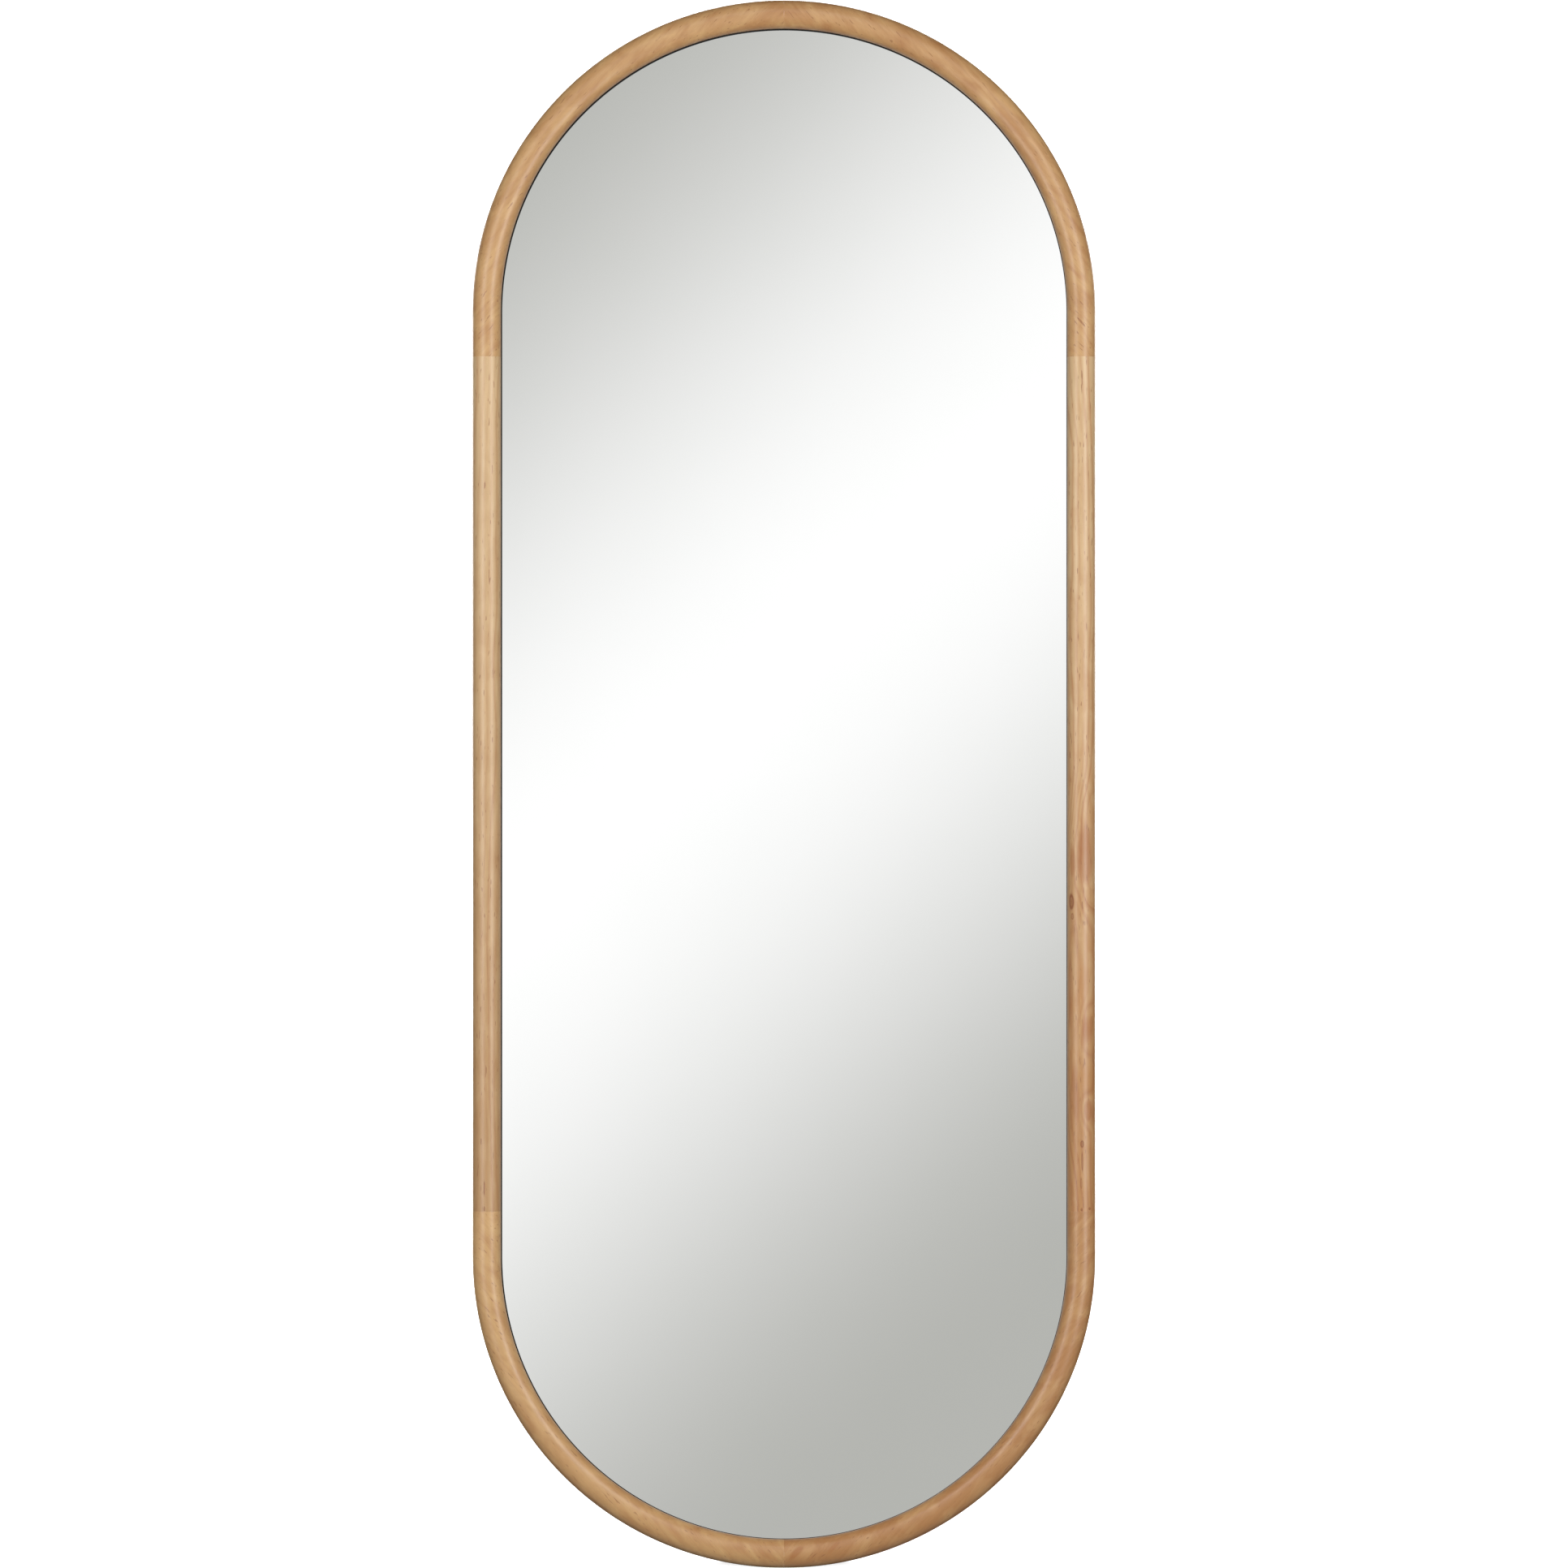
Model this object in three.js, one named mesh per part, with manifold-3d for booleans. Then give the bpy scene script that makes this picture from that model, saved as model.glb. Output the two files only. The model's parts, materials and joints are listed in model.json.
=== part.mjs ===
// A pill-shaped floor mirror in a solid pine frame, standing on a fold-out easel behind it.
//
// The frame is six lengths of rounded pine moulding: two straight rails and four quarter arcs, butted
// together over loose tenons. A rebate behind its lip takes a black glazing strip, the silvered glass and
// a foam sheet, and a wider rebate behind that takes the back panel, which is screwed to the frame's
// ledge. Two steel brackets on the panel carry the easel: two pine legs with two crossbars, which turn on
// one bolt each. Above its bolt each leg has a bevelled heel, which bears on the bracket when the easel is
// open and so stops it there.
//
// Millimetres, +Z up. The mirror faces -Y. The origin is on the floor, in the middle of the part's box.

import * as THREE from "three";
import { mergeVertices } from "three/addons/utils/BufferGeometryUtils.js";
import Module from "manifold-3d";

const wasm = await Module();
wasm.setup();

// ---- Driving dimensions -------------------------------------------------------------------------

// The mirror, measured along its own face.
const MIRROR_HEIGHT = 1600;
const MIRROR_WIDTH = 636;

// How it stands: the mirror's lean from the vertical, and the angle between the mirror and its open easel.
const LEAN = THREE.MathUtils.degToRad(12);
const EASEL_OPENING = THREE.MathUtils.degToRad(19);

// Clearances: where two pieces touch, and where a fastener passes through a hole.
const SEAT_GAP = 0.25;
const HOLE_CLEARANCE = 0.3;

// The moulding's section. Its front is half an ellipse, FACE_WIDTH across and ROUND_DEPTH deep.
const FACE_WIDTH = 29;
const MOULDING_DEPTH = 32;
const ROUND_DEPTH = 12;
const LIP_DEPTH = 15;
const GLASS_REBATE = 6;
const PANEL_REBATE = 14;
const BACK_CHAMFER = 1;

// The frame's joints. Each arc ends in a short straight run, where it meets its rail.
const ARC_TAIL = 46;
const TENON_LENGTH = 36;
const TENON_THICKNESS = 6;
const TENON_WIDTH = 14;
const TENON_DEPTH = 14;

// The flat planed on the frame's bottom, where it stands: how far it bites into the section's widest line.
const STANDING_FLAT_BITE = 0.8;

// What lies in the rebates, from front to back.
const STRIP_THICKNESS = 0.8;
const STRIP_OVERHANG = 1.2;
const STRIP_WIDTH = 5.5;
const GLASS_THICKNESS = 4;
const GLASS_EDGE_GAP = 1;
const FOAM_THICKNESS = 1.5;
const FOAM_INSET = 2;
const PANEL_THICKNESS = 9;
const PANEL_EDGE_GAP = 1;

// Wood screws: shank radius and length, pan head radius and height.
const PANEL_SCREW = { shank: 1.75, length: 17, head: 3.6, headHeight: 2 };
const BRACKET_SCREW = { shank: 2, length: 10, head: 3.8, headHeight: 2 };
const CROSSBAR_SCREW = { shank: 2.2, length: 54, head: 4.2, headHeight: 2.4 };
const PANEL_SCREW_FROM_INNER_EDGE = 9.5;
const PANEL_SCREW_ANGLES = [25, 65];
const PANEL_SCREWS_PER_RAIL = 3;
const RAIL_SCREW_END_DISTANCE = 90;

// The easel.
const PIVOT_HEIGHT = 1050;
const LEG_SPACING = 220;
const LEG_WIDTH = 26;
const LEG_DEPTH = 20;
const LEG_CHAMFER = 2;
const HEEL_LENGTH = 28;
const PAD_THICKNESS = 5;
const CROSSBAR_HEIGHT = 30;
const CROSSBAR_DEPTH = 14;
const UPPER_CROSSBAR_BELOW_PIVOT = 80;
const LOWER_CROSSBAR_ABOVE_FLOOR = 190;
const CROSSBAR_SCREW_SPACING = 16;

// The pivot brackets, bent from sheet steel, and their bolts.
const BRACKET_SHEET = 2;
const LEG_SIDE_GAP = 0.6;
const LEG_BEHIND_BRACKET = 3;
const EAR_RADIUS = 9;
const EAR_FOOT = 15;
const BRACKET_ABOVE_PIVOT = 50;
const BRACKET_BELOW_PIVOT = 50;
const BRACKET_SCREW_END_DISTANCE = 9;
const BRACKET_SCREW_SPREAD = 15;
const BOLT = { radius: 3, headRadius: 5.5, headHeight: 3.5, tail: 2 };
const NUT = { acrossCorners: 11.5, thickness: 5 };

// The rubber buttons that the folded legs rest on.
const BUMPER_RADIUS = 7;
const BUMPER_HEIGHT_ON_MIRROR = 210;

// How finely round shapes are cut.
const ARC_STEPS = 16;
const FACE_STEPS = 8;
const ROUND_SIDES = 12;
const SCREW_SIDES = 8;

// ---- Worked out from them -----------------------------------------------------------------------

const OUTER_RADIUS = MIRROR_WIDTH / 2;
const INNER_RADIUS = OUTER_RADIUS - FACE_WIDTH;
const LOW_CENTRE = OUTER_RADIUS;
const HIGH_CENTRE = MIRROR_HEIGHT - OUTER_RADIUS;
const LOW_JOINT = LOW_CENTRE + ARC_TAIL;
const HIGH_JOINT = HIGH_CENTRE - ARC_TAIL;

const STRIP_FRONT = LIP_DEPTH + SEAT_GAP;
const GLASS_FRONT = STRIP_FRONT + STRIP_THICKNESS + SEAT_GAP;
const FOAM_FRONT = GLASS_FRONT + GLASS_THICKNESS + SEAT_GAP;
const LEDGE_DEPTH = FOAM_FRONT + FOAM_THICKNESS;
const PANEL_FRONT = LEDGE_DEPTH + SEAT_GAP;
const PANEL_BACK = PANEL_FRONT + PANEL_THICKNESS;

const EASEL_TILT = EASEL_OPENING - LEAN;
const PIVOT_BEHIND_PANEL = SEAT_GAP + BRACKET_SHEET + LEG_BEHIND_BRACKET + LEG_DEPTH / 2;
const PIVOT_DEPTH = PANEL_BACK + PIVOT_BEHIND_PANEL;

// The floor lies across the mirror's own frame at a slant: a point at depth y and height z stands at
// z cos(LEAN) - y sin(LEAN) above this height.
const FLOOR_LEVEL = STANDING_FLAT_BITE * Math.cos(LEAN) - ROUND_DEPTH * Math.sin(LEAN);
const PIVOT_ABOVE_FLOOR = PIVOT_HEIGHT * Math.cos(LEAN) - PIVOT_DEPTH * Math.sin(LEAN) - FLOOR_LEVEL;

// ---- Solids -------------------------------------------------------------------------------------

function solidOf(geometry) {
  const bare = geometry.index ? geometry.toNonIndexed() : geometry.clone();
  bare.deleteAttribute("normal");
  bare.deleteAttribute("uv");
  const merged = mergeVertices(bare, 1e-4);
  return new wasm.Manifold(
    new wasm.Mesh({
      numProp: 3,
      vertProperties: merged.attributes.position.array,
      triVerts: new Uint32Array(merged.index.array),
    }),
  );
}

function geometryOf(solid) {
  const mesh = solid.getMesh();
  return new THREE.BufferGeometry()
    .setAttribute("position", new THREE.BufferAttribute(mesh.vertProperties, 3))
    .setIndex(new THREE.BufferAttribute(mesh.triVerts, 1));
}

function cut(geometry, tools) {
  return geometryOf(tools.reduce((solid, tool) => solid.subtract(solidOf(tool)), solidOf(geometry)));
}

function join(geometries) {
  return geometryOf(geometries.map(solidOf).reduce((all, next) => all.add(next)));
}

// A shape drawn in depth and height, made into a board that runs along X, centred on x = 0.
function board(outline, width) {
  const turn = new THREE.Matrix4().makeBasis(
    new THREE.Vector3(0, 1, 0),
    new THREE.Vector3(0, 0, 1),
    new THREE.Vector3(1, 0, 0),
  );
  const settings = { depth: width, bevelEnabled: false, curveSegments: ROUND_SIDES / 2 };
  return new THREE.ExtrudeGeometry(outline, settings)
    .translate(0, 0, -width / 2)
    .applyMatrix4(turn);
}

// A pill-shaped sheet, standing upright, with its front face at the given depth.
function pillSheet(radius, front, thickness, holes = []) {
  const outline = new THREE.Shape();
  outline.absarc(0, HIGH_CENTRE, radius, 0, Math.PI);
  outline.absarc(0, LOW_CENTRE, radius, Math.PI, 2 * Math.PI);
  outline.holes.push(...holes);
  const settings = { depth: thickness, bevelEnabled: false, curveSegments: ARC_STEPS };
  return new THREE.ExtrudeGeometry(outline, settings)
    .rotateX(Math.PI / 2)
    .translate(0, front + thickness, 0);
}

function pillHole(radius) {
  const hole = new THREE.Path();
  hole.absarc(0, HIGH_CENTRE, radius, 0, Math.PI);
  hole.absarc(0, LOW_CENTRE, radius, Math.PI, 2 * Math.PI);
  return hole;
}

// A profile of radius and height, turned about the Y axis.
function turned(profile, sides) {
  return new THREE.LatheGeometry(profile.map(([r, y]) => new THREE.Vector2(r, y)), sides);
}

// A pan-head wood screw along Y: its head's seat is at y = 0 and its tip points to -Y.
function screwGeometry({ shank, length, head, headHeight }) {
  const profile = [
    [0, -length],
    [shank, -length + 2.5 * shank],
    [shank, 0],
    [head, 0],
    [head * 0.93, headHeight * 0.55],
    [head * 0.6, headHeight * 0.95],
    [0, headHeight],
  ];
  return turned(profile, SCREW_SIDES);
}

// The hole for such a screw, from its seat forward.
function screwHole({ shank, length }) {
  const radius = shank + HOLE_CLEARANCE;
  const depth = length + 2 * HOLE_CLEARANCE;
  return new THREE.CylinderGeometry(radius, radius, 2 * depth, SCREW_SIDES);
}

function roundBar(radius, length) {
  return new THREE.CylinderGeometry(radius, radius, length, ROUND_SIDES).rotateZ(Math.PI / 2);
}

// ---- Materials ----------------------------------------------------------------------------------

function finish(color, roughness, metalness = 0) {
  return new THREE.MeshStandardMaterial({ color, roughness, metalness });
}

const pine = finish(0xc9a074, 0.45);
const beech = finish(0xd8b98c, 0.6);
const silveredGlass = finish(0xe8eae8, 0.02, 1);
const blackFoam = finish(0x1b1a19, 0.9);
const whiteFoam = finish(0xe9e9e6, 0.9);
const fibreboard = finish(0x9a7b58, 0.75);
const zincSteel = finish(0xb9bcc0, 0.35, 1);
const blackSteel = finish(0x222325, 0.5, 0.6);
const blackRubber = finish(0x1d1d1e, 0.85);

// ---- The scene graph ----------------------------------------------------------------------------

// The mirror's own frame: x to the right, y from the moulding's front to its back, z up from its lowest line.
const mirror = new THREE.Group();
mirror.rotation.x = -LEAN;
mirror.position.z = -FLOOR_LEVEL;

// The easel's own frame: its pivot at the origin and its legs straight down.
const easel = new THREE.Group();
easel.position.set(0, PIVOT_DEPTH, PIVOT_HEIGHT);
easel.rotation.x = EASEL_OPENING;
mirror.add(easel);

const part = new THREE.Group();
part.add(mirror);

function place(group, name, geometry, material, x = 0, y = 0, z = 0) {
  const mesh = new THREE.Mesh(geometry, material);
  mesh.name = name;
  mesh.position.set(x, y, z);
  group.add(mesh);
  return mesh;
}

const SIDES = [
  { side: "left", x: -1 },
  { side: "right", x: 1 },
];
const ENDS = [
  { end: "bottom", z: -1, centre: LOW_CENTRE, joint: LOW_JOINT },
  { end: "top", z: 1, centre: HIGH_CENTRE, joint: HIGH_JOINT },
];

// ---- Frame --------------------------------------------------------------------------------------

// The line of the frame's inner edge, from a rail's joint through the arc's tail and quarter circle to
// the middle.
class ArcLine extends THREE.Curve {
  constructor(x, z, centre) {
    super();
    Object.assign(this, { x, z, centre });
    this.tail = ARC_TAIL - SEAT_GAP / 2;
    this.middleGap = SEAT_GAP / 2 / INNER_RADIUS;
    this.sweep = Math.PI / 2 - this.middleGap;
    this.total = this.tail + INNER_RADIUS * this.sweep;
  }

  angleAt(t) {
    return Math.max(0, t * this.total - this.tail) / INNER_RADIUS;
  }

  getPoint(t, target = new THREE.Vector3()) {
    const angle = this.angleAt(t);
    const along = Math.min(0, t * this.total - this.tail);
    return target.set(
      this.x * INNER_RADIUS * Math.cos(angle),
      0,
      this.centre + this.z * (along + INNER_RADIUS * Math.sin(angle)),
    );
  }

  getTangent(t, target = new THREE.Vector3()) {
    const angle = this.angleAt(t);
    return target.set(-this.x * Math.sin(angle), 0, this.z * Math.cos(angle));
  }
}

// The moulding's section: distance out from the inner edge, and depth from the front.
function sectionPoints() {
  const points = [];
  for (let i = 0; i <= FACE_STEPS; i++) {
    const angle = (Math.PI * i) / FACE_STEPS;
    points.push([(FACE_WIDTH / 2) * (1 - Math.cos(angle)), ROUND_DEPTH * (1 - Math.sin(angle))]);
  }
  points.push(
    [FACE_WIDTH, MOULDING_DEPTH - BACK_CHAMFER],
    [FACE_WIDTH - BACK_CHAMFER, MOULDING_DEPTH],
    [PANEL_REBATE, MOULDING_DEPTH],
    [PANEL_REBATE, LEDGE_DEPTH],
    [GLASS_REBATE, LEDGE_DEPTH],
    [GLASS_REBATE, LIP_DEPTH],
    [0, LIP_DEPTH],
  );
  return points;
}

// The section swept along a line in the plane y = 0. The sweep lays the shape's x towards -Y, and its y to
// the right of an upward line, so outward says whether that is away from the mirror's middle.
function moulding(line, steps, outward) {
  const points = sectionPoints().map(([out, depth]) => new THREE.Vector2(-depth, outward * out));
  return new THREE.ExtrudeGeometry(new THREE.Shape(points), { extrudePath: line, steps });
}

// A loose tenon along Z, its rounded edges as a slot cutter leaves its mortise.
function tenonGeometry(clearance) {
  const radius = TENON_THICKNESS / 2 + clearance;
  const straight = (TENON_WIDTH - TENON_THICKNESS) / 2;
  const outline = new THREE.Shape();
  outline.absarc(0, straight, radius, 0, Math.PI);
  outline.absarc(0, -straight, radius, Math.PI, 2 * Math.PI);
  const length = TENON_LENGTH + 2 * clearance;
  const settings = { depth: length, bevelEnabled: false, curveSegments: SCREW_SIDES / 2 };
  return new THREE.ExtrudeGeometry(outline, settings).translate(0, 0, -length / 2);
}

// The tenons run midway through the solid wood, between the panel's rebate and the outer edge.
const TENON_RADIUS = INNER_RADIUS + (PANEL_REBATE + FACE_WIDTH) / 2;

function sideTenon(clearance, x, z) {
  return tenonGeometry(clearance).translate(x * TENON_RADIUS, TENON_DEPTH, z);
}

function middleTenon(clearance, end) {
  return tenonGeometry(clearance)
    .rotateY(Math.PI / 2)
    .translate(0, TENON_DEPTH, end.centre + end.z * TENON_RADIUS);
}

// Where the back panel's screws stand, all round, in the mirror's own frame.
const PANEL_SCREW_RADIUS = INNER_RADIUS + PANEL_SCREW_FROM_INNER_EDGE;
const railSpan = HIGH_JOINT - LOW_JOINT - 2 * RAIL_SCREW_END_DISTANCE;
const panelScrewPlaces = [];
for (const { side, x } of SIDES) {
  for (let i = 0; i < PANEL_SCREWS_PER_RAIL; i++) {
    const z = LOW_JOINT + RAIL_SCREW_END_DISTANCE + (railSpan * i) / (PANEL_SCREWS_PER_RAIL - 1);
    panelScrewPlaces.push({ name: `${side}_rail_${i + 1}`, x: x * PANEL_SCREW_RADIUS, z });
  }
  for (const { end, z, centre } of ENDS) {
    PANEL_SCREW_ANGLES.forEach((degrees, i) => {
      const angle = THREE.MathUtils.degToRad(degrees);
      panelScrewPlaces.push({
        name: `${end}_${side}_${i + 1}`,
        x: x * PANEL_SCREW_RADIUS * Math.cos(angle),
        z: centre + z * PANEL_SCREW_RADIUS * Math.sin(angle),
      });
    });
  }
}
const panelScrewHoles = panelScrewPlaces.map(({ x, z }) =>
  screwHole(PANEL_SCREW).translate(x, PANEL_BACK + SEAT_GAP, z),
);

// Everything below the floor, to plane the standing flat.
function belowFloor() {
  return new THREE.BoxGeometry(OUTER_RADIUS, 4 * MOULDING_DEPTH, MOULDING_DEPTH)
    .translate(0, 0, -MOULDING_DEPTH / 2)
    .rotateX(LEAN)
    .translate(0, ROUND_DEPTH, STANDING_FLAT_BITE);
}

function frameTools() {
  const mortises = [];
  for (const end of ENDS) {
    mortises.push(middleTenon(HOLE_CLEARANCE, end));
    for (const { x } of SIDES) mortises.push(sideTenon(HOLE_CLEARANCE, x, end.joint));
  }
  return [...mortises, ...panelScrewHoles];
}

for (const { side, x } of SIDES) {
  const rail = new THREE.LineCurve3(
    new THREE.Vector3(x * INNER_RADIUS, 0, LOW_JOINT + SEAT_GAP / 2),
    new THREE.Vector3(x * INNER_RADIUS, 0, HIGH_JOINT - SEAT_GAP / 2),
  );
  place(mirror, `${side}_rail`, cut(moulding(rail, 1, x), frameTools()), pine);
  for (const end of ENDS) {
    const arc = moulding(new ArcLine(x, end.z, end.centre), ARC_STEPS, x * end.z);
    const flat = end.z < 0 ? [belowFloor()] : [];
    place(mirror, `${end.end}_${side}_arc`, cut(arc, [...frameTools(), ...flat]), pine);
    place(mirror, `${end.end}_${side}_tenon`, sideTenon(0, x, end.joint), beech);
  }
}
for (const end of ENDS) place(mirror, `${end.end}_middle_tenon`, middleTenon(0, end), beech);

// ---- What the frame holds -----------------------------------------------------------------------

const STRIP_INNER = INNER_RADIUS - STRIP_OVERHANG;
place(
  mirror,
  "glazing_strip",
  pillSheet(STRIP_INNER + STRIP_WIDTH, STRIP_FRONT, STRIP_THICKNESS, [pillHole(STRIP_INNER)]),
  blackFoam,
);
const GLASS_RADIUS = INNER_RADIUS + GLASS_REBATE - GLASS_EDGE_GAP;
place(mirror, "mirror_glass", pillSheet(GLASS_RADIUS, GLASS_FRONT, GLASS_THICKNESS), silveredGlass);
place(mirror, "foam_sheet", pillSheet(GLASS_RADIUS - FOAM_INSET, FOAM_FRONT, FOAM_THICKNESS), whiteFoam);

const panelScrew = screwGeometry(PANEL_SCREW);
for (const { name, x, z } of panelScrewPlaces) {
  place(mirror, `panel_screw_${name}`, panelScrew, zincSteel, x, PANEL_BACK + SEAT_GAP, z);
}

// ---- Pivot brackets -----------------------------------------------------------------------------

// In the bracket's own frame the pivot's axis is y = 0, z = 0 and the leg fills x from -LEG_WIDTH / 2.
const BASE_BACK = -(LEG_DEPTH / 2 + LEG_BEHIND_BRACKET);
const EAR_INSIDE = LEG_WIDTH / 2 + LEG_SIDE_GAP;
const BRACKET_WIDTH = 2 * (EAR_INSIDE + BRACKET_SHEET);
const bracketScrewPlaces = [
  [-BRACKET_SCREW_SPREAD / 2, BRACKET_ABOVE_PIVOT - BRACKET_SCREW_END_DISTANCE],
  [BRACKET_SCREW_SPREAD / 2, BRACKET_ABOVE_PIVOT - BRACKET_SCREW_END_DISTANCE],
  [0, BRACKET_SCREW_END_DISTANCE - BRACKET_BELOW_PIVOT],
];

function earGeometry() {
  const outline = new THREE.Shape();
  outline.moveTo(BASE_BACK - BRACKET_SHEET / 2, -EAR_FOOT);
  outline.lineTo(BASE_BACK, -EAR_FOOT);
  outline.absarc(0, 0, EAR_RADIUS, -Math.PI / 2, Math.PI / 2);
  outline.lineTo(BASE_BACK, EAR_FOOT);
  outline.lineTo(BASE_BACK - BRACKET_SHEET / 2, EAR_FOOT);
  return board(outline, BRACKET_SHEET);
}

function bracketGeometry() {
  const height = BRACKET_ABOVE_PIVOT + BRACKET_BELOW_PIVOT;
  const base = new THREE.BoxGeometry(BRACKET_WIDTH, BRACKET_SHEET, height).translate(
    0,
    BASE_BACK - BRACKET_SHEET / 2,
    (BRACKET_ABOVE_PIVOT - BRACKET_BELOW_PIVOT) / 2,
  );
  const ears = [-1, 1].map((x) => earGeometry().translate(x * (EAR_INSIDE + BRACKET_SHEET / 2), 0, 0));
  const holes = [
    roundBar(BOLT.radius + HOLE_CLEARANCE, 2 * BRACKET_WIDTH),
    ...bracketScrewPlaces.map(([x, z]) => screwHole(BRACKET_SCREW).translate(x, BASE_BACK + SEAT_GAP, z)),
  ];
  return cut(join([base, ...ears]), holes);
}

// The bolt along X, its head towards +X, and its lock nut on the other side.
const BOLT_GRIP = BRACKET_WIDTH / 2 + SEAT_GAP;
function boltGeometry() {
  const end = -(BOLT_GRIP + NUT.thickness + BOLT.tail);
  const profile = [
    [0, end],
    [BOLT.radius, end],
    [BOLT.radius, BOLT_GRIP],
    [BOLT.headRadius, BOLT_GRIP],
    [BOLT.headRadius, BOLT_GRIP + BOLT.headHeight * 0.6],
    [BOLT.headRadius * 0.7, BOLT_GRIP + BOLT.headHeight],
    [0, BOLT_GRIP + BOLT.headHeight],
  ];
  return turned(profile, ROUND_SIDES).rotateZ(-Math.PI / 2);
}

function nutGeometry() {
  const hexagon = new THREE.CylinderGeometry(NUT.acrossCorners / 2, NUT.acrossCorners / 2, NUT.thickness, 6);
  return cut(hexagon.rotateZ(Math.PI / 2), [roundBar(BOLT.radius + HOLE_CLEARANCE, 2 * NUT.thickness)]);
}

const bracket = bracketGeometry();
const bracketScrew = screwGeometry(BRACKET_SCREW);
const bolt = boltGeometry();
const nut = nutGeometry();
const bracketHolesInPanel = [];
for (const { side, x } of SIDES) {
  const middle = (x * LEG_SPACING) / 2;
  const pivot = new THREE.Group();
  pivot.position.set(middle, PIVOT_DEPTH, PIVOT_HEIGHT);
  mirror.add(pivot);
  place(pivot, `${side}_pivot_bracket`, bracket, blackSteel);
  bracketScrewPlaces.forEach(([sx, sz], i) => {
    place(pivot, `${side}_bracket_screw_${i + 1}`, bracketScrew, zincSteel, sx, BASE_BACK + SEAT_GAP, sz);
    bracketHolesInPanel.push(
      screwHole(BRACKET_SCREW).translate(middle + sx, PIVOT_DEPTH + BASE_BACK + SEAT_GAP, PIVOT_HEIGHT + sz),
    );
  });
  const pin = place(pivot, `${side}_pivot_bolt`, bolt, zincSteel);
  const lock = place(pivot, `${side}_lock_nut`, nut, zincSteel);
  // Both heads face outwards.
  pin.rotation.z = x > 0 ? 0 : Math.PI;
  lock.position.x = -x * (BOLT_GRIP + NUT.thickness / 2);
}

// ---- Back panel and its bumpers -----------------------------------------------------------------

const PANEL_RADIUS = INNER_RADIUS + PANEL_REBATE - PANEL_EDGE_GAP;
place(
  mirror,
  "back_panel",
  cut(pillSheet(PANEL_RADIUS, PANEL_FRONT, PANEL_THICKNESS), [...panelScrewHoles, ...bracketHolesInPanel]),
  fibreboard,
);

const FOLDED_LEG_GAP = PIVOT_BEHIND_PANEL - LEG_DEPTH / 2;
const BUMPER_THICKNESS = FOLDED_LEG_GAP - 2 * SEAT_GAP;
for (const { side, x } of SIDES) {
  place(
    mirror,
    `${side}_leg_bumper`,
    new THREE.CylinderGeometry(BUMPER_RADIUS * 0.85, BUMPER_RADIUS, BUMPER_THICKNESS, ROUND_SIDES),
    blackRubber,
    (x * LEG_SPACING) / 2,
    PANEL_BACK + SEAT_GAP + BUMPER_THICKNESS / 2,
    BUMPER_HEIGHT_ON_MIRROR,
  );
}

// ---- Easel --------------------------------------------------------------------------------------

// The height, in the easel's own frame, of a level this far above the floor, where the leg has this depth.
function levelInEasel(aboveFloor, depth) {
  return (aboveFloor - PIVOT_ABOVE_FLOOR - depth * Math.sin(EASEL_TILT)) / Math.cos(EASEL_TILT);
}

// The leg's side view. Its foot is sawn level, and its heel is bevelled to lie flat on the base of the
// bracket when the easel is open.
function legOutline() {
  const front = -LEG_DEPTH / 2;
  const back = LEG_DEPTH / 2;
  const footLevel = PAD_THICKNESS + SEAT_GAP;
  const heelReach = -BASE_BACK - SEAT_GAP;
  const bevelStart = (heelReach + front * Math.cos(EASEL_OPENING)) / Math.sin(EASEL_OPENING);
  const bevelEnd = (HEEL_LENGTH * Math.sin(EASEL_OPENING) - heelReach) / Math.cos(EASEL_OPENING);
  return new THREE.Shape([
    new THREE.Vector2(front, levelInEasel(footLevel, front)),
    new THREE.Vector2(back, levelInEasel(footLevel, back)),
    new THREE.Vector2(back, HEEL_LENGTH - 3 * LEG_CHAMFER),
    new THREE.Vector2(back - 3 * LEG_CHAMFER, HEEL_LENGTH),
    new THREE.Vector2(bevelEnd, HEEL_LENGTH),
    new THREE.Vector2(front, bevelStart),
  ]);
}

function padOutline() {
  const front = -LEG_DEPTH / 2;
  const back = LEG_DEPTH / 2;
  return new THREE.Shape([
    new THREE.Vector2(front, levelInEasel(0, front)),
    new THREE.Vector2(back, levelInEasel(0, back)),
    new THREE.Vector2(back, levelInEasel(PAD_THICKNESS, back)),
    new THREE.Vector2(front, levelInEasel(PAD_THICKNESS, front)),
  ]);
}

const crossbarLevels = [
  { level: "upper", z: -UPPER_CROSSBAR_BELOW_PIVOT },
  { level: "lower", z: levelInEasel(LOWER_CROSSBAR_ABOVE_FLOOR, 0) },
];
const SCREW_SEAT = (LEG_SPACING + LEG_WIDTH) / 2 + SEAT_GAP;
const crossbarScrewPlaces = [];
for (const { level, z } of crossbarLevels) {
  for (const { side, x } of SIDES) {
    for (const i of [0, 1]) {
      crossbarScrewPlaces.push({
        name: `${level}_crossbar_screw_${side}_${i + 1}`,
        x,
        z: z + (i - 0.5) * CROSSBAR_SCREW_SPACING,
      });
    }
  }
}
// A screw's own axis is Y with its head at +Y, so a quarter turn about Z points the head outwards.
const outwardTurn = (x) => (-x * Math.PI) / 2;
const crossbarScrewHoles = crossbarScrewPlaces.map(({ x, z }) =>
  screwHole(CROSSBAR_SCREW).rotateZ(outwardTurn(x)).translate(x * SCREW_SEAT, 0, z),
);

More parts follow.
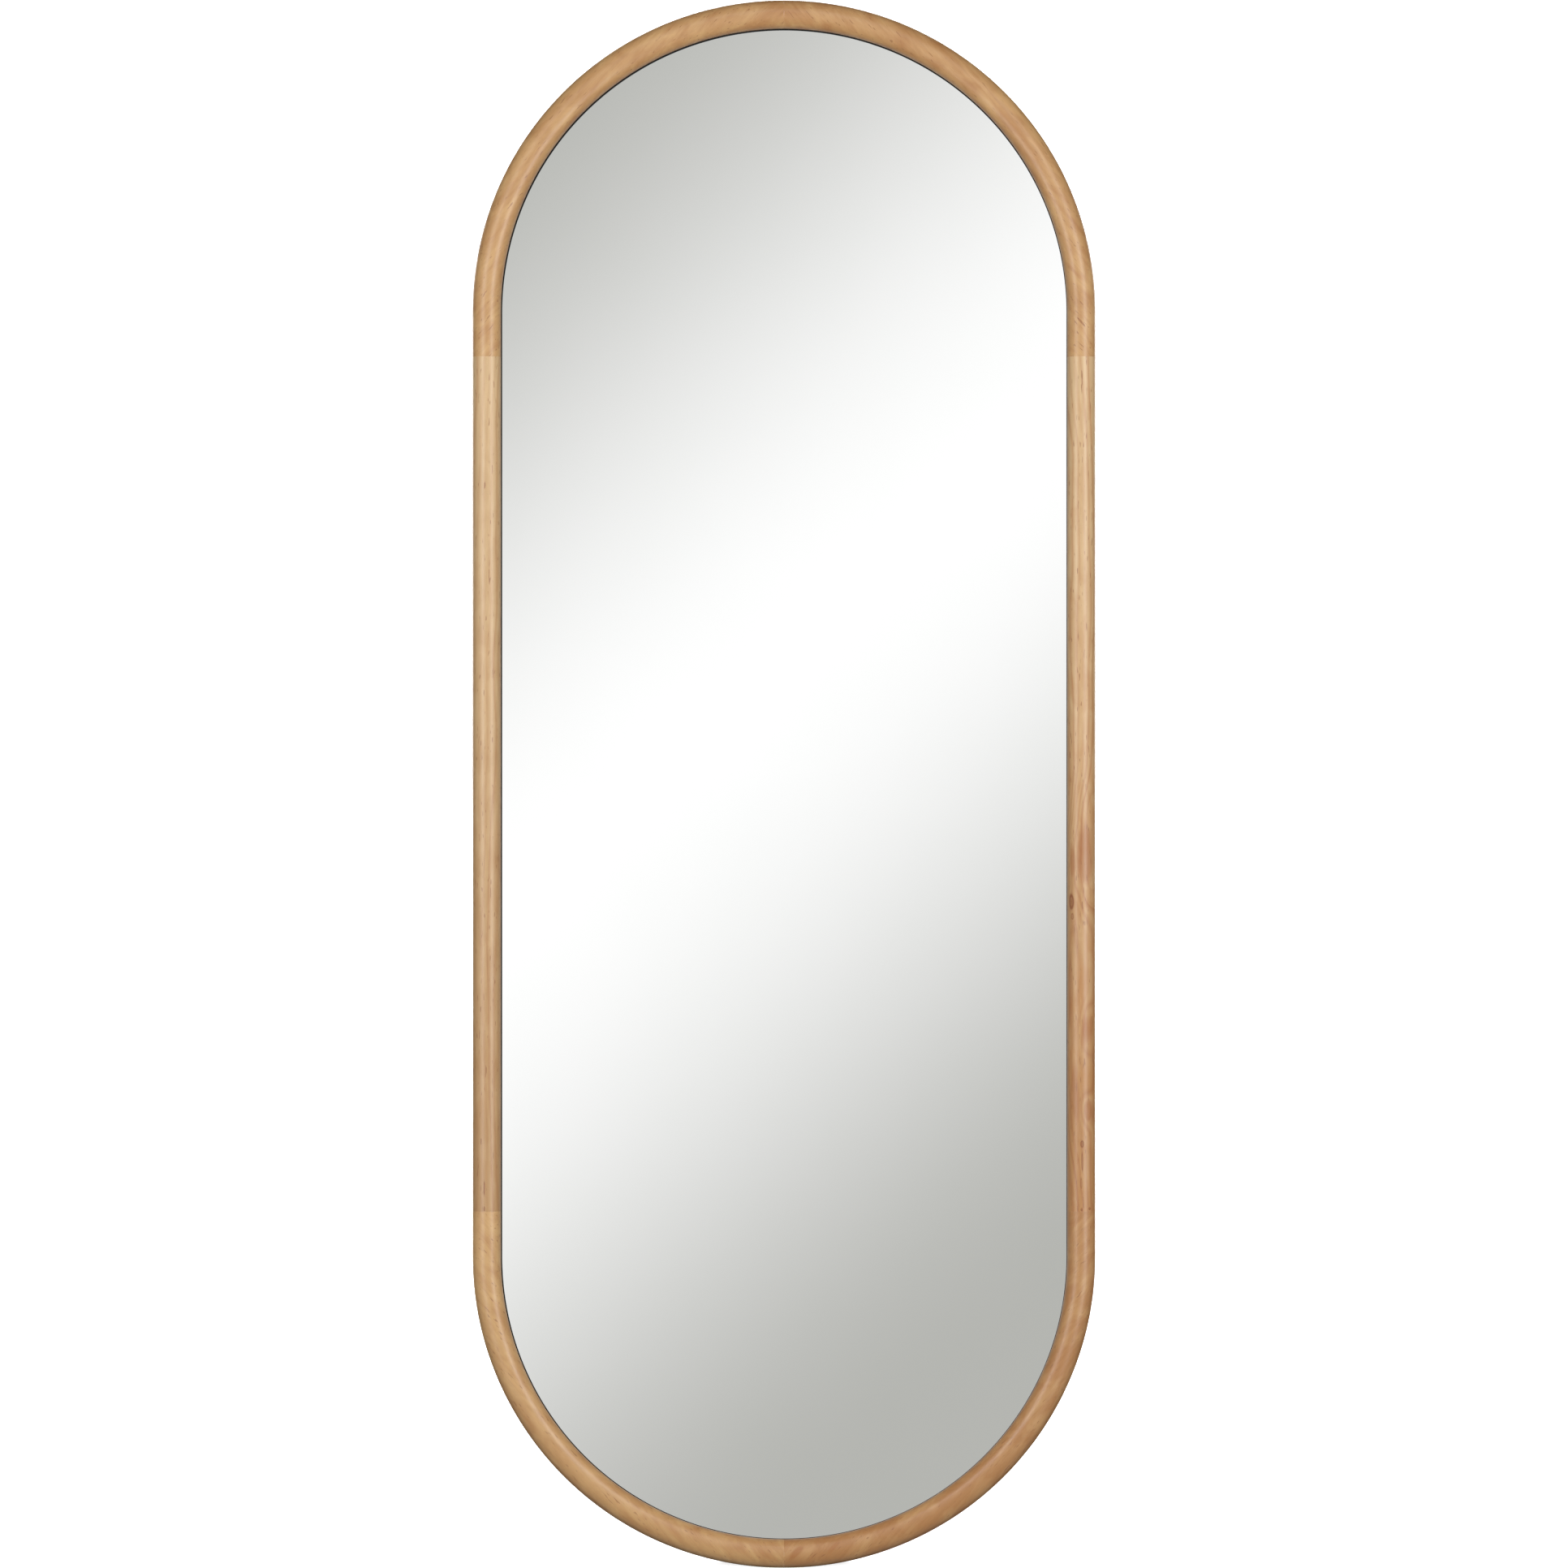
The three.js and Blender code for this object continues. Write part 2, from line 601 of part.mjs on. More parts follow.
for (const { side, x } of SIDES) {
  const middle = (x * LEG_SPACING) / 2;
  const tools = [
    roundBar(BOLT.radius + HOLE_CLEARANCE, 2 * LEG_WIDTH).translate(middle, 0, 0),
    ...crossbarScrewHoles,
  ];
  place(easel, `${side}_leg`, cut(board(legOutline(), LEG_WIDTH).translate(middle, 0, 0), tools), pine);
  place(easel, `${side}_foot_pad`, board(padOutline(), LEG_WIDTH), blackRubber, middle);
}

const CROSSBAR_LENGTH = LEG_SPACING - LEG_WIDTH - 2 * SEAT_GAP;
for (const { level, z } of crossbarLevels) {
  const bar = new THREE.BoxGeometry(CROSSBAR_LENGTH, CROSSBAR_DEPTH, CROSSBAR_HEIGHT).translate(0, 0, z);
  place(easel, `${level}_crossbar`, cut(bar, crossbarScrewHoles), pine);
}

const crossbarScrew = screwGeometry(CROSSBAR_SCREW);
for (const { name, x, z } of crossbarScrewPlaces) {
  place(easel, name, crossbarScrew, zincSteel, x * SCREW_SEAT, 0, z).rotation.z = outwardTurn(x);
}

// ---- Origin -------------------------------------------------------------------------------------

// On the floor already, and now at the middle of the part's depth.
mirror.position.y -= new THREE.Box3().setFromObject(part, true).getCenter(new THREE.Vector3()).y;

export default part;
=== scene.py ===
import functools
import json
import math
import random

import bmesh
import bpy
from mathutils import Matrix, Vector


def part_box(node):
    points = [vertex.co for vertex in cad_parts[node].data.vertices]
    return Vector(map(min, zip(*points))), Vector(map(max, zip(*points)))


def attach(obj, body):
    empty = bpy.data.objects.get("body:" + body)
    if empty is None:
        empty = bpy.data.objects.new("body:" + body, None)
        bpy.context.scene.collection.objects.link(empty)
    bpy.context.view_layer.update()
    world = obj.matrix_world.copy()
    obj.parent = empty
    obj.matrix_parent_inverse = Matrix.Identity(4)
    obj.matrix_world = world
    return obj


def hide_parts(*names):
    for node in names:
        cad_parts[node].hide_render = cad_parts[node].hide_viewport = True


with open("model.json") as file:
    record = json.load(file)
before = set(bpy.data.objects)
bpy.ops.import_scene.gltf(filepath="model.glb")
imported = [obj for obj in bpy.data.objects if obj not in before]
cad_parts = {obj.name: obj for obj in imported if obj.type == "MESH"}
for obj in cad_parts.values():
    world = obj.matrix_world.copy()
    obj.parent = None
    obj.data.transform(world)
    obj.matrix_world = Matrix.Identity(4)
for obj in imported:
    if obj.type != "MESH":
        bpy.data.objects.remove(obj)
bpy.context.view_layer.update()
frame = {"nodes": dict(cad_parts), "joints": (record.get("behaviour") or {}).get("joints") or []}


# ---- Where the mirror leans ------------------------------------------------------------
# The mirror is built as it lies on the bench: x to the right, y from front to back, z up its face, from the
# middle of the glass. Its frame leans back with the glass, and the easel's turns about the pivot bolts.

nodes = frame["nodes"]
glass_front = max(nodes["mirror_glass"].data.polygons, key=lambda face: -face.normal.y * face.area)
lean = math.asin(glass_front.normal.z)
glass_low, glass_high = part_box("mirror_glass")
mirror_frame = Matrix.Translation((glass_low + glass_high) / 2) @ Matrix.Rotation(-lean, 4, "X")

fold = frame["joints"][0]
opening = -math.radians(fold["range_deg"][0])
easel_frame = Matrix.Translation(Vector(fold["pos_m"])) @ Matrix.Rotation(opening - lean, 4, "X")


# ---- Pine ------------------------------------------------------------------------------
# Knotty pine, planed, sanded and sprayed with satin lacquer. The growth rings are cylinders round the tree's
# heart, so a straight rail shows long streaks and an arc sawn from a straight board shows flames.

def srgb(code):
    """An sRGB hex colour as the linear colour that Blender takes."""
    values = [int(code[i:i + 2], 16) / 255 for i in (0, 2, 4)]
    return [v / 12.92 if v <= 0.04045 else ((v + 0.055) / 1.055) ** 2.4 for v in values] + [1]


def grey(value):
    return [value, value, value, 1]


def plug(node, inputs):
    """Sets a node's sockets. A socket's value is a number, a colour or the output that feeds it."""
    for socket, value in inputs.items():
        if isinstance(value, bpy.types.NodeSocket):
            node.id_data.links.new(value, node.inputs[socket])
        else:
            node.inputs[socket].default_value = value


def add_node(tree, kind, inputs, out=0, stops=(), **settings):
    """Adds a shader node with its settings, colour stops and links, and gives one of its outputs."""
    node = tree.nodes.new("ShaderNode" + kind)
    for name, value in settings.items():
        setattr(node, name, value)
    for number, (position, colour) in enumerate(stops):
        points = node.color_ramp.elements
        point = points[number] if number < 2 else points.new(position)
        point.position = position
        point.color = colour
    plug(node, inputs)
    return node.outputs[out]


def new_material(name):
    """A material, its Principled shader, and add_node for its tree."""
    material = bpy.data.materials.new(name)
    material.use_nodes = True
    tree = material.node_tree
    return material, tree.nodes["Principled BSDF"], functools.partial(add_node, tree)


MM = 0.001
RING_SPACING = 6 * MM
BEND_LENGTH = 45 * MM
BEND_DEPTH = 30 * MM
PATCH_SIZE = 14 * MM
FIBRE_WIDTH = 1.2 * MM
CANAL_WIDTH = 1.7 * MM
LATEWOOD = srgb("cd9a68")
KNOT = srgb("7a3f10")
FLAME = srgb("93541f")
RESIN = srgb("8a5a34")


def pine_material(name, pale, deep, ring_shade, patch_shade, knots=(), flames=()):
    """Pine in the board's own frame, z along the grain, from its pale colour to its deep one, with rings and
    patches of a given strength. A knot or a flame is its place in that frame, half its width and length, and
    how dark it is."""
    material, shader, add = new_material(name)
    board = add("Attribute", {}, "Vector", attribute_name="board")
    tone = add("Attribute", {}, "Fac", attribute_name="tone")

    # The trunk wanders by a few millimetres over a few hands' breadths.
    slow = add("VectorMath", {0: board, 1: (1, 1, 0.2)}, operation="MULTIPLY")
    wander = add("TexNoise", {"Vector": slow, "Scale": 1 / BEND_LENGTH, "Detail": 2,
                              "Roughness": 0.4}, "Color")
    centred = add("VectorMath", {0: wander, 1: (0.5, 0.5, 0.5)}, operation="SUBTRACT")
    bent = add("VectorMath", {0: centred, 1: (BEND_DEPTH, BEND_DEPTH, 0), 2: board},
               operation="MULTIPLY_ADD")
    across = add("VectorMath", {0: bent, 1: (1, 1, 0)}, operation="MULTIPLY")
    from_heart = add("VectorMath", {0: across}, "Value", operation="LENGTH")

    # Broad warm and pale patches, where the plane cut nearer to or further from a ring.
    cloudy = add("VectorMath", {0: board, 1: (1, 1, 0.4)}, operation="MULTIPLY")
    clouds = add("TexNoise", {"Vector": cloudy, "Scale": 1 / PATCH_SIZE, "Detail": 3,
                              "Roughness": 0.5, "Distortion": 0.6})
    patches = add("MapRange", {"Value": clouds, "From Min": 0.3, "From Max": 0.7,
                               "To Min": -patch_shade, "To Max": patch_shade})

    # The grain flows round each knot, which has a dark bark line and a paler heart. A flame is a brown
    # patch with a ragged edge, where a ring was cut almost flat.
    masks = {}
    for kind, marks in (("knot", knots), ("flame", flames)):
        for place, half_width, half_length, darkness in marks:
            offset = add("VectorMath", {0: board, 1: place}, operation="SUBTRACT")
            shares = (1 / half_width, 1 / half_width, 1 / half_length)
            flat = add("VectorMath", {0: offset, 1: shares}, operation="MULTIPLY")
            reach = add("VectorMath", {0: flat}, "Value", operation="LENGTH")
            swirl = add("MapRange", {"Value": reach, "From Min": 0.6, "From Max": 3,
                                     "To Min": 1.6 * half_width, "To Max": 0},
                        interpolation_type="SMOOTHERSTEP")
            from_heart = add("Math", {0: from_heart, 1: swirl}, operation="ADD")
            if kind == "knot":
                core = add("Math", {0: reach, 1: 0.5}, operation="MULTIPLY")
                core = add("ValToRGB", {"Fac": core},
                           stops=[(0.0, grey(0.8)), (0.8, grey(0)), (0.28, grey(0.6)), (0.42, grey(1)),
                                  (0.52, grey(0.8)), (0.64, grey(0.2))])
            else:
                ragged = add("Math", {0: clouds, 1: 1.6, 2: -0.8}, operation="MULTIPLY_ADD")
                ragged = add("Math", {0: reach, 1: ragged}, operation="ADD")
                core = add("MapRange", {"Value": ragged, "From Min": 0.5, "From Max": 1.1,
                                        "To Min": 1, "To Max": 0}, interpolation_type="SMOOTHSTEP")
            core = add("Math", {0: core, 1: darkness}, operation="MULTIPLY")
            if kind in masks:
                core = add("Math", {0: masks[kind], 1: core}, operation="MAXIMUM")
            masks[kind] = core

    # Each year's ring is pale and soft, then darkens into a harder edge. Some years are fainter.
    years = add("Math", {0: from_heart, 1: RING_SPACING}, operation="DIVIDE")
    in_year = add("Math", {0: years}, operation="FRACT")
    ring = add("ValToRGB", {"Fac": in_year},
               stops=[(0.0, grey(0.55)), (0.3, grey(0)), (0.5, grey(0.05)), (0.8, grey(0.7)),
                      (0.92, grey(1)), (1.0, grey(0.55))])
    year = add("Math", {0: years}, operation="FLOOR")
    strength = add("TexWhiteNoise", {"W": year}, noise_dimensions="1D")
    strength = add("MapRange", {"Value": strength, "To Min": 0.3 * ring_shade, "To Max": ring_shade})
    ring = add("Math", {0: ring, 1: strength}, operation="MULTIPLY")

    depth = add("Math", {0: tone, 1: patches}, operation="ADD", use_clamp=True)
    wood = add("Mix", {0: depth, 6: pale, 7: deep}, 2, data_type="RGBA")
    dark_ring = add("Mix", {0: 1.0, 6: wood, 7: LATEWOOD}, 2, data_type="RGBA", blend_type="MULTIPLY")
    wood = add("Mix", {0: ring, 6: wood, 7: dark_ring}, 2, data_type="RGBA")
    if "flame" in masks:
        wood = add("Mix", {0: masks["flame"], 6: wood, 7: FLAME}, 2, data_type="RGBA")

    # Fibres are a tenth of a millimetre wide: these are drawn coarser, to show.
    thread = add("VectorMath", {0: board, 1: (1, 1, 0.03)}, operation="MULTIPLY")
    fibres = add("TexNoise", {"Vector": thread, "Scale": 1 / FIBRE_WIDTH, "Detail": 4, "Roughness": 0.65})
    streak = add("MapRange", {"Value": fibres, "From Min": 0.25, "From Max": 0.75,
                              "To Min": 0.92, "To Max": 1.06})
    wood = add("VectorMath", {0: wood, "Scale": streak}, operation="SCALE")

    # Resin canals are short brown dashes, one here and there.
    short = add("VectorMath", {0: board, 1: (1, 1, 0.14)}, operation="MULTIPLY")
    canals = add("TexNoise", {"Vector": short, "Scale": 1 / CANAL_WIDTH, "Detail": 1})
    canals = add("MapRange", {"Value": canals, "From Min": 0.67, "From Max": 0.74, "To Min": 0,
                              "To Max": 0.7}, interpolation_type="SMOOTHSTEP")
    wood = add("Mix", {0: canals, 6: wood, 7: RESIN}, 2, data_type="RGBA")
    if "knot" in masks:
        wood = add("Mix", {0: masks["knot"], 6: wood, 7: KNOT}, 2, data_type="RGBA")

    # The lacquer fills the grain, so only a little of it is felt. Darker threads take a better shine.
    gloss = add("MapRange", {"Value": fibres, "From Min": 0.3, "From Max": 0.7, "To Min": 0.4,
                             "To Max": 0.5})
    relief = add("Math", {0: fibres, 1: ring}, operation="ADD")
    bump = add("Bump", {"Strength": 0.2, "Distance": 0.1 * MM, "Height": relief})
    plug(shader, {"Base Color": wood, "Roughness": gloss, "Normal": bump, "IOR": 1.5, "Coat Weight": 0.25,
                  "Coat Roughness": 0.3})
    return material


def board_turn(along):
    """The turn that brings a board's grain upright, and so into the material's frame."""
    grain = Vector(along).normalized()
    side = grain.cross(Vector((0, 1, 0))).normalized()
    return Matrix((side, side.cross(grain), grain))


def store(mesh, name, kind, field, values):
    """Gives every point of a mesh its own value, under a name that a material can ask for."""
    attribute = mesh.attributes.new(name, kind, "POINT")
    for item, value in zip(attribute.data, values):
        setattr(item, field, value)


def lay_grain(mesh, along, heart, tones):
    """Stores each point's place in its board: z along the grain, and x and y away from the tree's heart.
    The tone runs from the board's lower end to its upper one, 0 pale and 1 deep."""
    turn = board_turn(along)
    points = [turn @ vertex.co for vertex in mesh.vertices]
    low, high = (pick(point.z for point in points) for pick in (min, max))
    shares = [(point.z - low) / (high - low) for point in points]
    store(mesh, "board", "FLOAT_VECTOR", "vector", [point + Vector(heart) for point in points])
    store(mesh, "tone", "FLOAT", "value", [tones[0] + (tones[1] - tones[0]) * share for share in shares])


# ---- Frame -----------------------------------------------------------------------------
# Six lengths of one moulding in solid pine: two straight rails, and four quarter arcs that were sawn from
# straight boards and rounded over. Their ends are butted and glued over loose tenons, with a hairline at
# each joint where the sharp ends were eased before the glue.

def node_box(node, place):
    """The lowest and highest corners of a CAD node, seen in a frame."""
    to_frame = place.inverted()
    points = [to_frame @ vertex.co for vertex in nodes[node].data.vertices]
    return [Vector(pick(point[axis] for point in points) for axis in range(3)) for pick in (min, max)]


def put(name, data):
    """A new object in the scene."""
    thing = bpy.data.objects.new(name, data)
    bpy.context.scene.collection.objects.link(thing)
    return thing


def add_piece(name, mesh, place, body, node):
    """Hangs a mesh on a body, in the place of a CAD node."""
    piece = put(name, mesh)
    piece.matrix_world = place
    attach(piece, body)
    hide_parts(node)
    return piece


def smooth(mesh, sharp_degrees=35):
    """Rounds the shading, and keeps the edges that turn by more than this."""
    mesh.shade_smooth()
    mesh.set_sharp_from_angle(angle=math.radians(sharp_degrees))
    return mesh


def even_shading(piece):
    """Lets the flat faces set the normals, so an eased edge catches the light and its face stays flat."""
    piece.modifiers.new("even_shading", "WEIGHTED_NORMAL").keep_sharp = True
    return piece


def sweep(bm, section, stations):
    """Rings of points: the section at each station, which is a point and the direction out from it."""
    return [[bm.verts.new(point + outward * out + Vector((0, depth, 0))) for out, depth in section]
            for point, outward in stations]


def join_rings(bm, rings, closed=False):
    """Fills the faces between rings of points. The first and the last are joined too, or else each is capped,
    unless it is a tip, all of whose points are one."""
    for ring, following in zip(rings, rings[1:] + rings[:1] if closed else rings[1:]):
        for i in range(len(ring)):
            j = (i + 1) % len(ring)
            bm.faces.new(list(dict.fromkeys((ring[i], ring[j], following[j], following[i]))))
    for ring in () if closed else (rings[0], rings[-1]):
        if len(set(ring)) > 1:
            bm.faces.new(ring)
    bmesh.ops.recalc_face_normals(bm, faces=bm.faces)


def to_mesh(name, bm):
    mesh = bpy.data.meshes.new(name)
    bm.to_mesh(mesh)
    bm.free()
    return mesh


def eased(outline, radius, steps=3):
    """An outline with each listed corner rounded: its points are (x, y, share of the radius)."""
    points = []
    for number, (x, y, share) in enumerate(outline):
        here = Vector((x, y))
        if share == 0:
            points.append(here)
            continue
        before = Vector(outline[number - 1][:2])
        after = Vector(outline[(number + 1) % len(outline)][:2])
        start = here + (before - here).normalized() * radius * share
        end = here + (after - here).normalized() * radius * share
        for step in range(steps + 1):
            t = step / steps
            points.append(start * (1 - t) ** 2 + here * 2 * t * (1 - t) + end * t ** 2)
    return points


FACE_WIDTH = 29 * MM
ROUND_DEPTH = 12 * MM
LIP_DEPTH = 15 * MM
GLASS_REBATE = 6 * MM
PANEL_REBATE = 14 * MM
BACK_EASING = 1 * MM
EDGE_EASING = 0.4 * MM
CLEARANCE = 0.25 * MM
JOINT_GAP = 0.02 * MM
JOINT_EASING = 0.03 * MM
FACE_POINTS = 40
STEPS_PER_ARC = 96

rail_low, rail_high = node_box("right_rail", mirror_frame)
panel_low, panel_high = node_box("back_panel", mirror_frame)
glass_low, glass_high = node_box("mirror_glass", mirror_frame)
inner_radius = rail_low.x
moulding_front = rail_low.y
moulding_back = rail_high.y
ledge = panel_low.y - CLEARANCE
joint_height = rail_high.z + CLEARANCE / 2
arc_centre = glass_high.z - glass_high.x


def moulding_section():
    """The moulding's section: distance out from its inner edge, and depth."""
    outline = []
    for point in range(FACE_POINTS + 1):
        angle = math.pi * point / FACE_POINTS
        out = FACE_WIDTH / 2 * (1 - math.cos(angle))
        outline.append((out, moulding_front + ROUND_DEPTH * (1 - math.sin(angle)), 0))
    lip_back = moulding_front + LIP_DEPTH
    outline += [(FACE_WIDTH, moulding_back, BACK_EASING / EDGE_EASING),
                (PANEL_REBATE, moulding_back, 1), (PANEL_REBATE, ledge, 0),
                (GLASS_REBATE, ledge, 1), (GLASS_REBATE, lip_back, 0), (0, lip_back, 1)]
    return eased(outline, EDGE_EASING)


def moulding_mesh(name, stations):
    """The moulding along a run of stations, its two ends eased, and planed flat where it would dip below the
    floor."""
    bm = bmesh.new()
    join_rings(bm, sweep(bm, moulding_section(), stations))
    rims = [edge for edge in bm.edges if sum(len(face.verts) > 4 for face in edge.link_faces) == 1]
    bmesh.ops.bevel(bm, geom=rims, offset=JOINT_EASING, segments=2, profile=0.5, affect="EDGES")
    to_mirror = mirror_frame.inverted()
    geometry = bm.verts[:] + bm.edges[:] + bm.faces[:]
    cut = bmesh.ops.bisect_plane(bm, geom=geometry, plane_co=to_mirror @ Vector(), clear_inner=True,
                                 plane_no=to_mirror.to_3x3() @ Vector((0, 0, 1)))["geom_cut"]
    open_edges = [item for item in cut if isinstance(item, bmesh.types.BMEdge)]
    if open_edges:
        bmesh.ops.holes_fill(bm, edges=open_edges, sides=0)
    return smooth(to_mesh(name, bm))


def rail_stations(side):
    end = joint_height - JOINT_GAP / 2
    return [(Vector((side * inner_radius, 0, z)), Vector((side, 0, 0))) for z in (-end, end)]


def arc_stations(side, end):
    """From the rail's joint, up the short straight tail and round to the middle of the mirror's end."""
    start = Vector((side * inner_radius, 0, end * (joint_height + JOINT_GAP / 2)))
    stations = [(start, Vector((side, 0, 0)))]
    centre = Vector((0, 0, end * arc_centre))
    last = math.pi / 2 - JOINT_GAP / 2 / inner_radius
    for step in range(STEPS_PER_ARC + 1):
        angle = last * step / STEPS_PER_ARC
        outward = Vector((side * math.cos(angle), 0, end * math.sin(angle)))
        stations.append((centre + outward * inner_radius, outward))
    return stations


# Each board's lie: the way its grain runs, how far off the tree's heart is, and how deep its tone is at its
# lower and upper ends. The rails deepen downwards, partly the pine's own colour and partly painted shade.
boards = {
    "left_rail": ((0.010, -0.012, 1), (0.055, 0.045, 0.3), (1.05, -0.05)),
    "right_rail": ((-0.014, 0.022, 1), (-0.035, 0.040, 1.1), (1.05, -0.05)),
    "top_left_arc": ((0.9, 0.03, 1), (0.040, 0.075, 2.3), (0.45, 0.6)),
    "top_right_arc": ((-0.9, 0.04, 1), (-0.030, 0.060, 3.1), (0.5, 0.7)),
    "bottom_left_arc": ((-0.9, 0.02, 1), (0.045, 0.070, 4.2), (0.65, 0.25)),
    "bottom_right_arc": ((0.9, -0.05, 1), (-0.050, 0.050, 5.4), (0.9, 0.9)),
}
# The knots and resin streaks that show, and the flames, in millimetres: across and up the mirror, half their
# width and length along the grain, and how dark they are.
knot_places = {
    "right_rail": [(293, -120, 2.6, 7, 0.95), (294, -135, 1.5, 3, 0.7), (304, -367, 1.6, 3.2, 0.9),
                   (304, -385, 0.8, 9, 0.8), (303, -407, 0.9, 5, 0.6), (303.5, -434, 1, 1.2, 0.9),
                   (311.5, -433, 1, 1.2, 0.9)],
    "left_rail": [(-305.5, -412, 0.7, 6, 0.8), (-305.5, -433, 0.8, 2, 0.8)],
    "top_right_arc": [(303, 471, 0.8, 6, 0.8)],
}
flame_places = {
    "right_rail": [(307, -66, 9, 34, 0.6), (294, -80, 4, 20, 0.5), (292, -215, 4, 45, 0.4),
                   (308, -250, 5, 15, 0.5), (296, -316, 6, 34, 0.5), (310, -333, 4, 11, 0.6)],
    "bottom_right_arc": [(13, -783, 3.5, 13, 0.5), (52, -776, 4, 15, 0.4)],
}


def marks_on(*names):
    """The knots and the flames on some boards, brought from the mirror's face into the boards' frames."""
    for places in (knot_places, flame_places):
        marks = []
        for name in names:
            along, heart, tones = boards[name]
            for across, up, half_width, half_length, darkness in places.get(name, ()):
                rise = max(abs(up) * MM - arc_centre, 0)
                from_crown = 2 * (math.hypot(across * MM, rise) - inner_radius) / FACE_WIDTH - 1
                surface = moulding_front + ROUND_DEPTH * (1 - math.sqrt(1 - from_crown ** 2))
                place = board_turn(along) @ Vector((across * MM, surface, up * MM)) + Vector(heart)
                marks.append((place, half_width * MM, half_length * MM, darkness))
        yield marks


arcs = [name for name in boards if name.endswith("arc")]
pale_pine = pine_material("pale_pine_satin_lacquer", srgb("c9a97d"), srgb("b0885a"), 0.4, 0.25,
                          *marks_on("left_rail"))
knotty_pine = pine_material("knotty_pine_satin_lacquer", srgb("c9a97d"), srgb("ad7c49"), 0.6, 0.25,
                            *marks_on("right_rail"))
honey_pine = pine_material("honey_pine_satin_lacquer", srgb("c9a26e"), srgb("a67544"), 0.16, 0.34,
                           *marks_on(*arcs))
rail_pines = {"left_rail": pale_pine, "right_rail": knotty_pine}
sides = {"left": -1, "right": 1}
ends = {"bottom": -1, "top": 1}
for name, (along, heart, tones) in boards.items():
    side = sides["left" if "left" in name else "right"]
    stations = rail_stations(side) if name in rail_pines else arc_stations(side, ends[name.split("_")[0]])
    mesh = moulding_mesh(name, stations)
    lay_grain(mesh, along, heart, tones)
    mesh.materials.append(rail_pines.get(name, honey_pine))
    even_shading(add_piece("pine_" + name, mesh, mirror_frame, "mirror", name))


# ---- Tenons ----------------------------------------------------------------------------
# Loose beech tenons, glued into mortises in the ends of the moulding. Beech is pale and pinkish, with short
# dark flecks. They are hidden once the frame is glued up.

FLECK_WIDTH = 0.8 * MM

beech, shader, add = new_material("sawn_beech")
place = add("TexCoord", {}, "Object")
flecks = add("VectorMath", {0: place, 1: (1, 1, 0.15)}, operation="MULTIPLY")
flecks = add("TexNoise", {"Vector": flecks, "Scale": 1 / FLECK_WIDTH, "Detail": 2})
colour = add("ValToRGB", {"Fac": flecks}, stops=[(0.35, srgb("d9b98d")), (0.7, srgb("b98d63"))])
bump = add("Bump", {"Strength": 0.4, "Distance": 0.1 * MM, "Height": flecks})
plug(shader, {"Base Color": colour, "Normal": bump, "Roughness": 0.6})


def finish_node(node, material):
    """Gives a CAD node that stays as it is its material."""
    nodes[node].data.materials.clear()
    nodes[node].data.materials.append(material)


for node in nodes:
    if node.endswith("tenon"):
        finish_node(node, beech)


# ---- Glazing strip ---------------------------------------------------------------------
# Black closed-cell foam tape behind the frame's lip, with the glass pressed against it. It shows as the dark
# line round the glass, partly painted shade for the gap there. It is set a touch low and to the right, so the
# line is thickest on top: painted shade under the top lip.

STRIP_WIDTH = 5.2 * MM
STRIP_EASING = 0.2 * MM
# Shifted low and to the right, so the dark line is widest on top: painted shade under the top lip.
STRIP_SHIFT_PAINTING_TOP_SHADE = Vector((0.35, 0, -0.55)) * MM
FINE_CELL = 0.4 * MM


def foam_material(name, light, dark, cell):
    """Closed-cell foam: fine pits all over, and a soft dull surface."""
    material, shader, add = new_material(name)
    place = add("TexCoord", {}, "Object")
    cells = add("TexVoronoi", {"Vector": place, "Scale": 1 / cell})
    colour = add("ValToRGB", {"Fac": cells}, stops=[(0.1, dark), (0.6, light)])
    bump = add("Bump", {"Strength": 0.5, "Distance": 0.1 * MM, "Height": cells})
    plug(shader, {"Base Color": colour, "Normal": bump, "Roughness": 0.85, "Specular IOR Level": 0.3})
    return material


def pill_stations():
    """Once round the mirror, anticlockwise from the lower right joint: the arcs' centres and directions."""
    stations = []
    for end in (1, -1):
        for step in range(2 * STEPS_PER_ARC + 1):
            angle = math.pi * step / (2 * STEPS_PER_ARC)
            outward = Vector((end * math.cos(angle), 0, end * math.sin(angle)))
            stations.append((Vector((0, 0, end * arc_centre)), outward))
    return stations


strip_low, strip_high = node_box("glazing_strip", mirror_frame)
strip_inner = strip_high.x - STRIP_WIDTH
outline = [(strip_inner, strip_low.y, 1), (strip_high.x, strip_low.y, 1),
           (strip_high.x, strip_high.y, 1), (strip_inner, strip_high.y, 1)]
bm = bmesh.new()
join_rings(bm, sweep(bm, eased(outline, STRIP_EASING), pill_stations()), closed=True)
mesh = smooth(to_mesh("glazing_strip", bm))
# The shift paints shade: more of the dark tape shows along the top.
mesh.transform(Matrix.Translation(STRIP_SHIFT_PAINTING_TOP_SHADE))
mesh.materials.append(foam_material("black_foam_tape", srgb("161515"), srgb("090909"), FINE_CELL))
add_piece("foam_glazing_strip", mesh, mirror_frame, "mirror", "glazing_strip")


# ---- Glass -----------------------------------------------------------------------------
# One sheet of 4 mm float glass, silvered on its back. The silver gives a mirror that is very slightly green,
# and the edges are ground round.

GLASS_EASING = 0.8 * MM
HAZE_SIZE = 160 * MM

silvered_glass, shader, add = new_material("silvered_float_glass")
place = add("TexCoord", {}, "Object")
haze = add("TexNoise", {"Vector": place, "Scale": 1 / HAZE_SIZE, "Detail": 4})
rough = add("MapRange", {"Value": haze, "From Min": 0.35, "From Max": 0.75, "To Min": 0.0, "To Max": 0.02})
tint = add("Mix", {0: haze, 6: srgb("f4f4f4"), 7: srgb("f1f2f1")}, 2, data_type="RGBA")
plug(shader, {"Base Color": tint, "Roughness": rough, "Metallic": 1})


